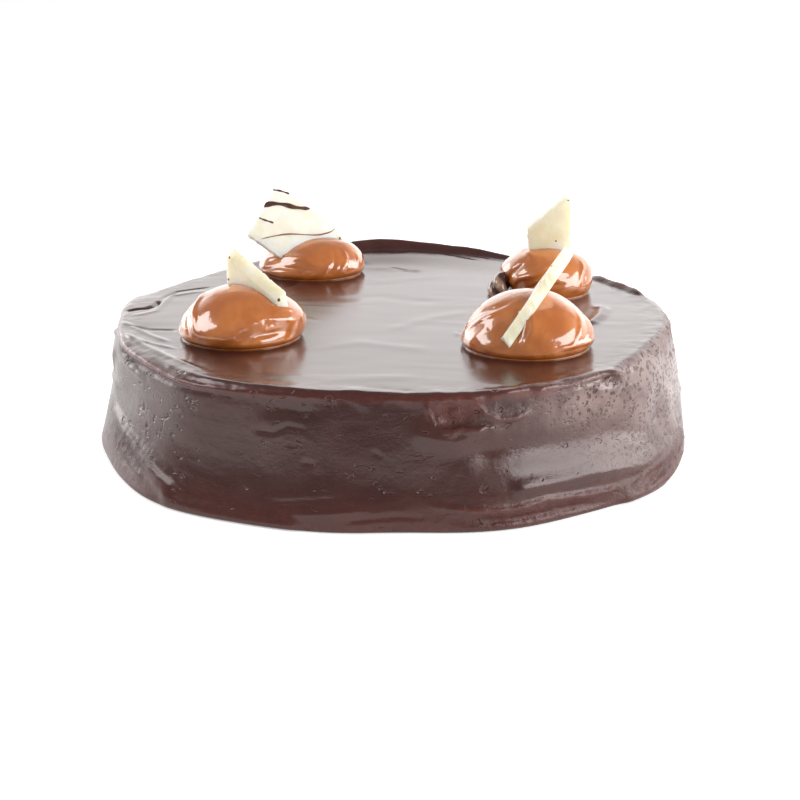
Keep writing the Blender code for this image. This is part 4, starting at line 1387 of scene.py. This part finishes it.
@dataclass
class WhiteShard:
    """A shard of white chocolate with a broken edge, and the drizzle and specks set in its face."""

    place: Place
    step: Vector
    bite: float = 0.9
    jitter: float = 0.16
    bevel: float = 0.28
    drizzle_rise: float = 0.10
    drizzle_sink: float = 0.02
    drizzle_wave: float = 0.25
    speck_sink: float = 0.05

    def seat(self, form: ShardForm) -> Matrix:
        """The matrix that takes the plate from its own axes to its place."""
        turn = Euler((-math.radians(form.lean), 0.0, math.radians(form.yaw))).to_matrix().to_4x4()
        return Matrix.Translation(Vector(form.origin) + self.step) @ turn

    def broken_outline(self, form: ShardForm) -> List[Tuple[float, float, float, float]]:
        """Add small uneven steps between the corners, as a snapped edge has.

        Args:
            form: The shard's form.

        Returns:
            The outline's points, in the form of the corners.
        """
        draw = random.Random("snap " + self.place.value)
        outline = []
        for here, there in zip(form.corners, form.corners[1:] + form.corners[:1]):
            count = max(1, round(math.dist(here[:2], there[:2]) / self.bite))
            for index in range(count):
                share = index / count
                mixed = [a + (b - a) * share for a, b in zip(here, there)]
                size = self.jitter if index else 0.0
                outline.append(tuple(value + draw.uniform(-size, size) for value in mixed))
        return outline

    def plate(self, form: ShardForm) -> bpy.types.Object:
        """Build the plate.

        Args:
            form: The shard's form.

        Returns:
            The piece.
        """
        outline = self.broken_outline(form)
        bm = bmesh.new()
        face = bm.faces.new([bm.verts.new((u * MM, 0.0, v * MM)) for u, v, _, _ in outline])
        grown = bmesh.ops.extrude_face_region(bm, geom=[face], use_keep_orig=True)["geom"]
        back = [vert for vert in grown if isinstance(vert, bmesh.types.BMVert)]
        for u, v, step_u, step_v in outline:
            corner = Vector((u * MM, 0.0, v * MM))
            vert = min(back, key=lambda item: (item.co - corner).length)
            back.remove(vert)
            vert.co = ((u + step_u) * MM, form.thickness, (v + step_v) * MM)
        bmesh.ops.recalc_face_normals(bm, faces=bm.faces[:])
        rims = [edge for edge in bm.edges if edge.calc_face_angle(0.0) > 0.9]
        bmesh.ops.bevel(bm, geom=rims, offset=self.bevel * MM, segments=2, profile=0.5,
                        affect="EDGES", clamp_overlap=True, material=-1)
        mesh = finished_mesh(bm, "white_shard_" + self.place.value)
        mesh.set_sharp_from_angle(angle=math.radians(38))
        mesh.transform(self.seat(form))
        # Painted light and shade: each shard gets a lighter or darker copy of the white chocolate.
        finish = WhiteChocolateFinish("white_chocolate_" + self.place.value, *form.lit_and_shaded_tones)
        return add_piece(mesh, finish.material(), Slot.WHITE_CHOCOLATE,
                         ("shard_" + self.place.value,))

    def add_drizzle(self, bm: bmesh.types.BMesh, drizzle: Drizzle) -> None:
        """Lay a low rounded stripe along its points on the plate's face.

        Args:
            bm: The shape that takes the stripe.
            drizzle: The stripe.
        """
        path = [Vector((u, 0.0, v)) * MM for u, v in drizzle.points]
        spans = [0.0]
        for first, second in zip(path, path[1:]):
            spans.append(spans[-1] + (second - first).length)
        made = bmesh.ops.create_grid(bm, x_segments=44, y_segments=6, size=1.0)["verts"]
        draw = random.Random(len(path) + int(drizzle.half_width * 100))
        phase = draw.uniform(0.0, 6.0)
        for vert in made:
            run = (vert.co.x + 1.0) / 2.0
            side = vert.co.y
            length = run * spans[-1]
            index = max(i for i, span in enumerate(spans[:-1]) if span <= length + 1e-12)
            local = (length - spans[index]) / (spans[index + 1] - spans[index])
            before, after = path[max(index - 1, 0)], path[min(index + 2, len(path) - 1)]
            first, second = path[index], path[index + 1]
            middle = self.curve(before, first, second, after, local)
            ahead = self.curve(before, first, second, after, local + 0.02) - middle
            across = Vector((-ahead.z, 0.0, ahead.x)).normalized()
            wave = 1.0 + self.drizzle_wave * math.sin(run * 15.0 + phase)
            width = drizzle.half_width * MM * wave
            width *= min(1.0, 0.12 + 9.0 * run, 0.12 + 7.0 * (1.0 - run))
            rise = self.drizzle_rise * MM * (1.0 - side * side) - self.drizzle_sink * MM
            vert.co = middle + across * side * width + Vector((0.0, -rise, 0.0))

    @staticmethod
    def curve(before: Vector, first: Vector, second: Vector, after: Vector, share: float) -> Vector:
        """A point on the smooth curve through four points, between the middle two.

        Args:
            before: The first point.
            first: The second point, where the share is 0.
            second: The third point, where the share is 1.
            after: The fourth point.
            share: How far along.

        Returns:
            The point.
        """
        a = 2.0 * first
        b = second - before
        c = 2.0 * before - 5.0 * first + 4.0 * second - after
        d = -before + 3.0 * first - 3.0 * second + after
        return 0.5 * (a + share * (b + share * (c + share * d)))

    def add_speck(self, bm: bmesh.types.BMesh, speck: Triple) -> None:
        """Set a flat crumb of dark chocolate into the plate's face.

        Args:
            bm: The shape that takes the speck.
            speck: Its u, v and half size in millimetres.
        """
        u, v, size = speck
        draw = random.Random(round(u * 10 + v))
        shape = Matrix.Diagonal((size * MM, size * 0.5 * MM, size * draw.uniform(0.5, 0.8) * MM, 1.0))
        middle = Vector((u, -self.speck_sink, v)) * MM
        place = Matrix.Translation(middle) @ Matrix.Rotation(draw.uniform(0, 3), 4, "Y")
        made = bmesh.ops.create_icosphere(bm, subdivisions=2, radius=1.0, matrix=place @ shape)["verts"]
        for vert in made:
            vert.co += noise.noise_vector(vert.co * 2600.0) * size * 0.18 * MM

    def markings(self, form: ShardForm, tone: DrizzleTone) -> None:
        """Build the stripes of one tone, and the specks with the dark ones.

        Args:
            form: The shard's form.
            tone: Which stripes to build.
        """
        bm = bmesh.new()
        for drizzle in form.drizzles:
            if drizzle.tone is tone:
                self.add_drizzle(bm, drizzle)
        if tone is DrizzleTone.DARK:
            for speck in form.specks:
                self.add_speck(bm, speck)
        if not bm.verts:
            bm.free()
            return
        mesh = bpy.data.meshes.new(f"{tone.value}_{self.place.value}")
        for face in bm.faces:
            if face.normal.y > 0.0 and len(face.verts) == 4:
                face.normal_flip()
        bm.to_mesh(mesh)
        bm.free()
        mesh.shade_smooth()
        mesh.transform(self.seat(form))
        add_piece(mesh, DRIZZLE_FINISHES[tone].material(), Slot.GANACHE)

    def build(self) -> None:
        """Build the plate with its markings."""
        form = SHARDS[self.place]
        self.plate(form)
        for tone in DrizzleTone:
            self.markings(form, tone)


@dataclass
class GanacheFold:
    """The pleated fold of ganache pushed up against the back right dollop."""

    step: Vector
    seat: float
    middle: Pair = (0.0424, 0.0335)
    half_size: Triple = (0.0044, 0.0058, 0.0085)
    lean: float = 0.0018
    pleats: float = 6.5
    pleat_depth: float = 0.30
    sink: float = 0.06

    def build(self) -> bpy.types.Object:
        """Build the fold in place.

        Returns:
            The piece.
        """
        bm = bmesh.new()
        bmesh.ops.create_uvsphere(bm, u_segments=112, v_segments=48, radius=1.0)
        mesh = finished_mesh(bm, "ganache_pleats")
        x, y, z = read_points(mesh).T
        angle = np.arctan2(y, x)
        pleat = np.abs(np.sin(self.pleats * (0.55 * z + 0.45 * x) + 0.6 * np.sin(2.0 * angle))) ** 0.8
        spread = 1.0 + self.pleat_depth * (pleat - 0.7) * smooth_step(0.0, 0.35, 1.0 - np.abs(z))
        up = np.maximum(z, -self.sink)
        points = np.stack((x * spread * self.half_size[0] + self.lean * up,
                           y * spread * self.half_size[1], up * self.half_size[2]), axis=1)
        write_points(mesh, points)
        for name, value in (("top", 1.0), ("porous", 0.0), ("rough", 0.0)):
            write_share(mesh, name, np.full(len(points), value))
        # Painted highlight: the pale colour is laid on the crests of the pleats.
        write_share(mesh, "thin_and_crest_highlight", smooth_step(0.45, 0.95, pleat))
        mesh.transform(Matrix.Translation(Vector((*self.middle, self.seat)) + self.step))
        # Its pale third colour paints the highlight on the pleat crests.
        finish = GanacheFinish(name="fold_ganache", dark=(0.045, 0.018, 0.012),
                               brown=(0.110, 0.045, 0.028), thin_and_crest_highlight=(0.620, 0.400, 0.290),
                               top_roughness=0.12)
        return add_piece(mesh, finish.material(), Slot.GANACHE, ("ganache_fold",))


@dataclass
class SpongeCrumbs:
    """Crumbs of sponge that show where the coat is torn under the rim.

    Places are (bearing, height, size) in degrees and millimetres, and the depth is in millimetres.
    """

    step: Vector
    coat: GanacheCoat
    places: Tuple[Triple, ...] = (
        (277.2, 42.0, 0.9), (278.6, 38.6, 0.8), (285.4, 43.9, 1.2), (279.8, 40.8, 0.6),
        (284.2, 41.2, 0.7), (285.9, 42.6, 0.8), (281.9, 36.2, 0.5), (283.0, 39.6, 0.5))
    seed: int = 5
    crumbs_each: int = 3
    depth: Pair = (1.6, 2.3)

    def build(self) -> bpy.types.Object:
        """Build the crumbs in place.

        Returns:
            The piece.
        """
        draw = random.Random(self.seed)
        bm = bmesh.new()
        for bearing, level, size in self.places:
            for _ in range(self.crumbs_each):
                turn = bearing + draw.uniform(-0.45, 0.45)
                height = (level + draw.uniform(-0.7, 0.7)) * MM
                radius = float(self.coat.wall_radius(np.array([turn]), np.array([height]))[0])
                radius -= draw.uniform(*self.depth) * MM
                angle = math.radians(turn)
                place = Matrix.Translation((radius * math.cos(angle), radius * math.sin(angle), height))
                scale = Matrix.Diagonal([size * draw.uniform(0.5, 0.9) * MM for _ in range(3)] + [1.0])
                made = bmesh.ops.create_icosphere(bm, subdivisions=3, radius=1.0, matrix=place @ scale)
                for vert in made["verts"]:
                    vert.co += noise.noise_vector(vert.co * 1400.0) * size * 0.35 * MM
        mesh = finished_mesh(bm, "sponge_crumbs")
        mesh.transform(Matrix.Translation(self.step))
        return add_piece(mesh, SpongeFinish().material(), Slot.GANACHE)


@dataclass(frozen=True)
class Softbox:
    """A large soft light that points at the cake."""

    name: str
    place: Triple
    size: Pair
    power: float
    target: Triple = (0.0, 0.0, 0.04)

    def build(self) -> None:
        """Hang the light."""
        light = bpy.data.lights.new(self.name, "AREA")
        light.shape = "RECTANGLE"
        light.size, light.size_y = self.size
        light.energy = self.power
        lamp = bpy.data.objects.new(self.name, light)
        lamp.location = self.place
        aim = Vector(self.target) - Vector(self.place)
        lamp.rotation_euler = aim.to_track_quat("-Z", "Y").to_euler()
        lamp.visible_camera = False
        bpy.context.scene.collection.objects.link(lamp)


@dataclass
class Studio:
    """Pale floor, soft light that comes mostly from behind, and the camera."""

    step: Vector
    camera_place: Triple = (0.0, -0.700, 0.23325)
    camera_pitch: float = 17.53
    lens: float = 84.7
    sensor: float = 36.0
    shift: float = 0.00975
    floor_size: float = 16.0
    floor_glow: float = 0.42
    sky_strength: Pair = (0.32, 2.28)
    lights: Tuple[Softbox, ...] = (
        Softbox("left_softbox", (-1.00, -0.06, 0.86), (0.66, 0.60), 7.0),
        Softbox("left_panel", (-1.02, 0.82, 0.32), (0.90, 0.60), 4.2),
        Softbox("right_window", (1.24, -0.30, 0.56), (1.76, 0.80), 26.0))

    def floor(self) -> None:
        """Lay the floor."""
        bm = bmesh.new()
        bmesh.ops.create_grid(bm, x_segments=2, y_segments=2, size=self.floor_size / 2)
        mesh = bpy.data.meshes.new("studio_floor")
        bm.to_mesh(mesh)
        bm.free()
        floor = bpy.data.objects.new("studio_floor", mesh)
        bpy.context.scene.collection.objects.link(floor)
        sketch = NodeSketch("studio_floor")
        sketch.dress(Base_Color=opaque((0.90, 0.90, 0.90)), Roughness=0.9,
                     Emission_Color=opaque((1.0, 1.0, 1.0)), Emission_Strength=self.floor_glow)
        mesh.materials.append(sketch.material)

    def sky(self) -> None:
        """Light the room: bright and low behind the cake, dim above it and behind the camera."""
        world = bpy.data.worlds.new("studio_light")
        bpy.context.scene.world = world
        world.use_nodes = True
        world.node_tree.nodes.clear()
        sheet = NodeSheet(world.node_tree)
        way = sheet.add("ShaderNodeTexCoord").outputs["Generated"]
        ray = sheet.add("ShaderNodeSeparateXYZ", {0: way})
        behind = sheet.ramp(ray.outputs["Y"], 0.10, 0.60)
        low = sheet.ramp(ray.outputs["Z"], 0.36, 0.74, 1.0, 0.0)
        cloud = sheet.add("ShaderNodeTexNoise", {"Vector": way, "Scale": 3.2, "Detail": 2.0})
        uneven = sheet.add("ShaderNodeMapRange", {
            "Value": cloud.outputs["Fac"], "From Min": 0.3, "From Max": 0.7, "To Min": 0.82, "To Max": 1.12})
        drape = sheet.math("MULTIPLY", sheet.math("MULTIPLY", behind, low), uneven.outputs[0])
        dim, bright = self.sky_strength
        level = sheet.add("ShaderNodeMapRange", {
            "Value": drape, "From Max": 1.2, "To Min": dim, "To Max": bright})
        shine = sheet.add("ShaderNodeBackground", {
            "Color": opaque((1.0, 0.985, 0.975)), "Strength": level.outputs[0]})
        sheet.add("ShaderNodeOutputWorld", {"Surface": shine.outputs[0]})

    def camera(self) -> None:
        """Set the camera."""
        data = bpy.data.cameras.new("camera")
        data.lens = self.lens
        data.sensor_width = self.sensor
        data.shift_x = self.shift
        camera = bpy.data.objects.new("camera", data)
        camera.location = Vector(self.camera_place) + self.step
        camera.rotation_euler = (math.radians(90.0 - self.camera_pitch), 0.0, 0.0)
        bpy.context.scene.collection.objects.link(camera)
        bpy.context.scene.camera = camera

    def build(self) -> None:
        """Set up the floor, the light and the camera."""
        self.floor()
        self.sky()
        for light in self.lights:
            light.build()
        self.camera()
        view = bpy.context.scene.view_settings
        view.view_transform = "Standard"
        view.look = "None"


def main() -> None:
    """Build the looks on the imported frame."""
    logging.basicConfig(level=logging.INFO, format="%(message)s")
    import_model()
    coat = GanacheCoat()
    _, step = coat.build()
    seat = coat.height + TOUCH_GAP
    for place in Place:
        CaramelDollop(place, step, seat).build()
        WhiteShard(place, step).build()
    GanacheFold(step, seat).build()
    SpongeCrumbs(step, coat).build()
    Studio(step).build()


if __name__ == "__main__":
    main()
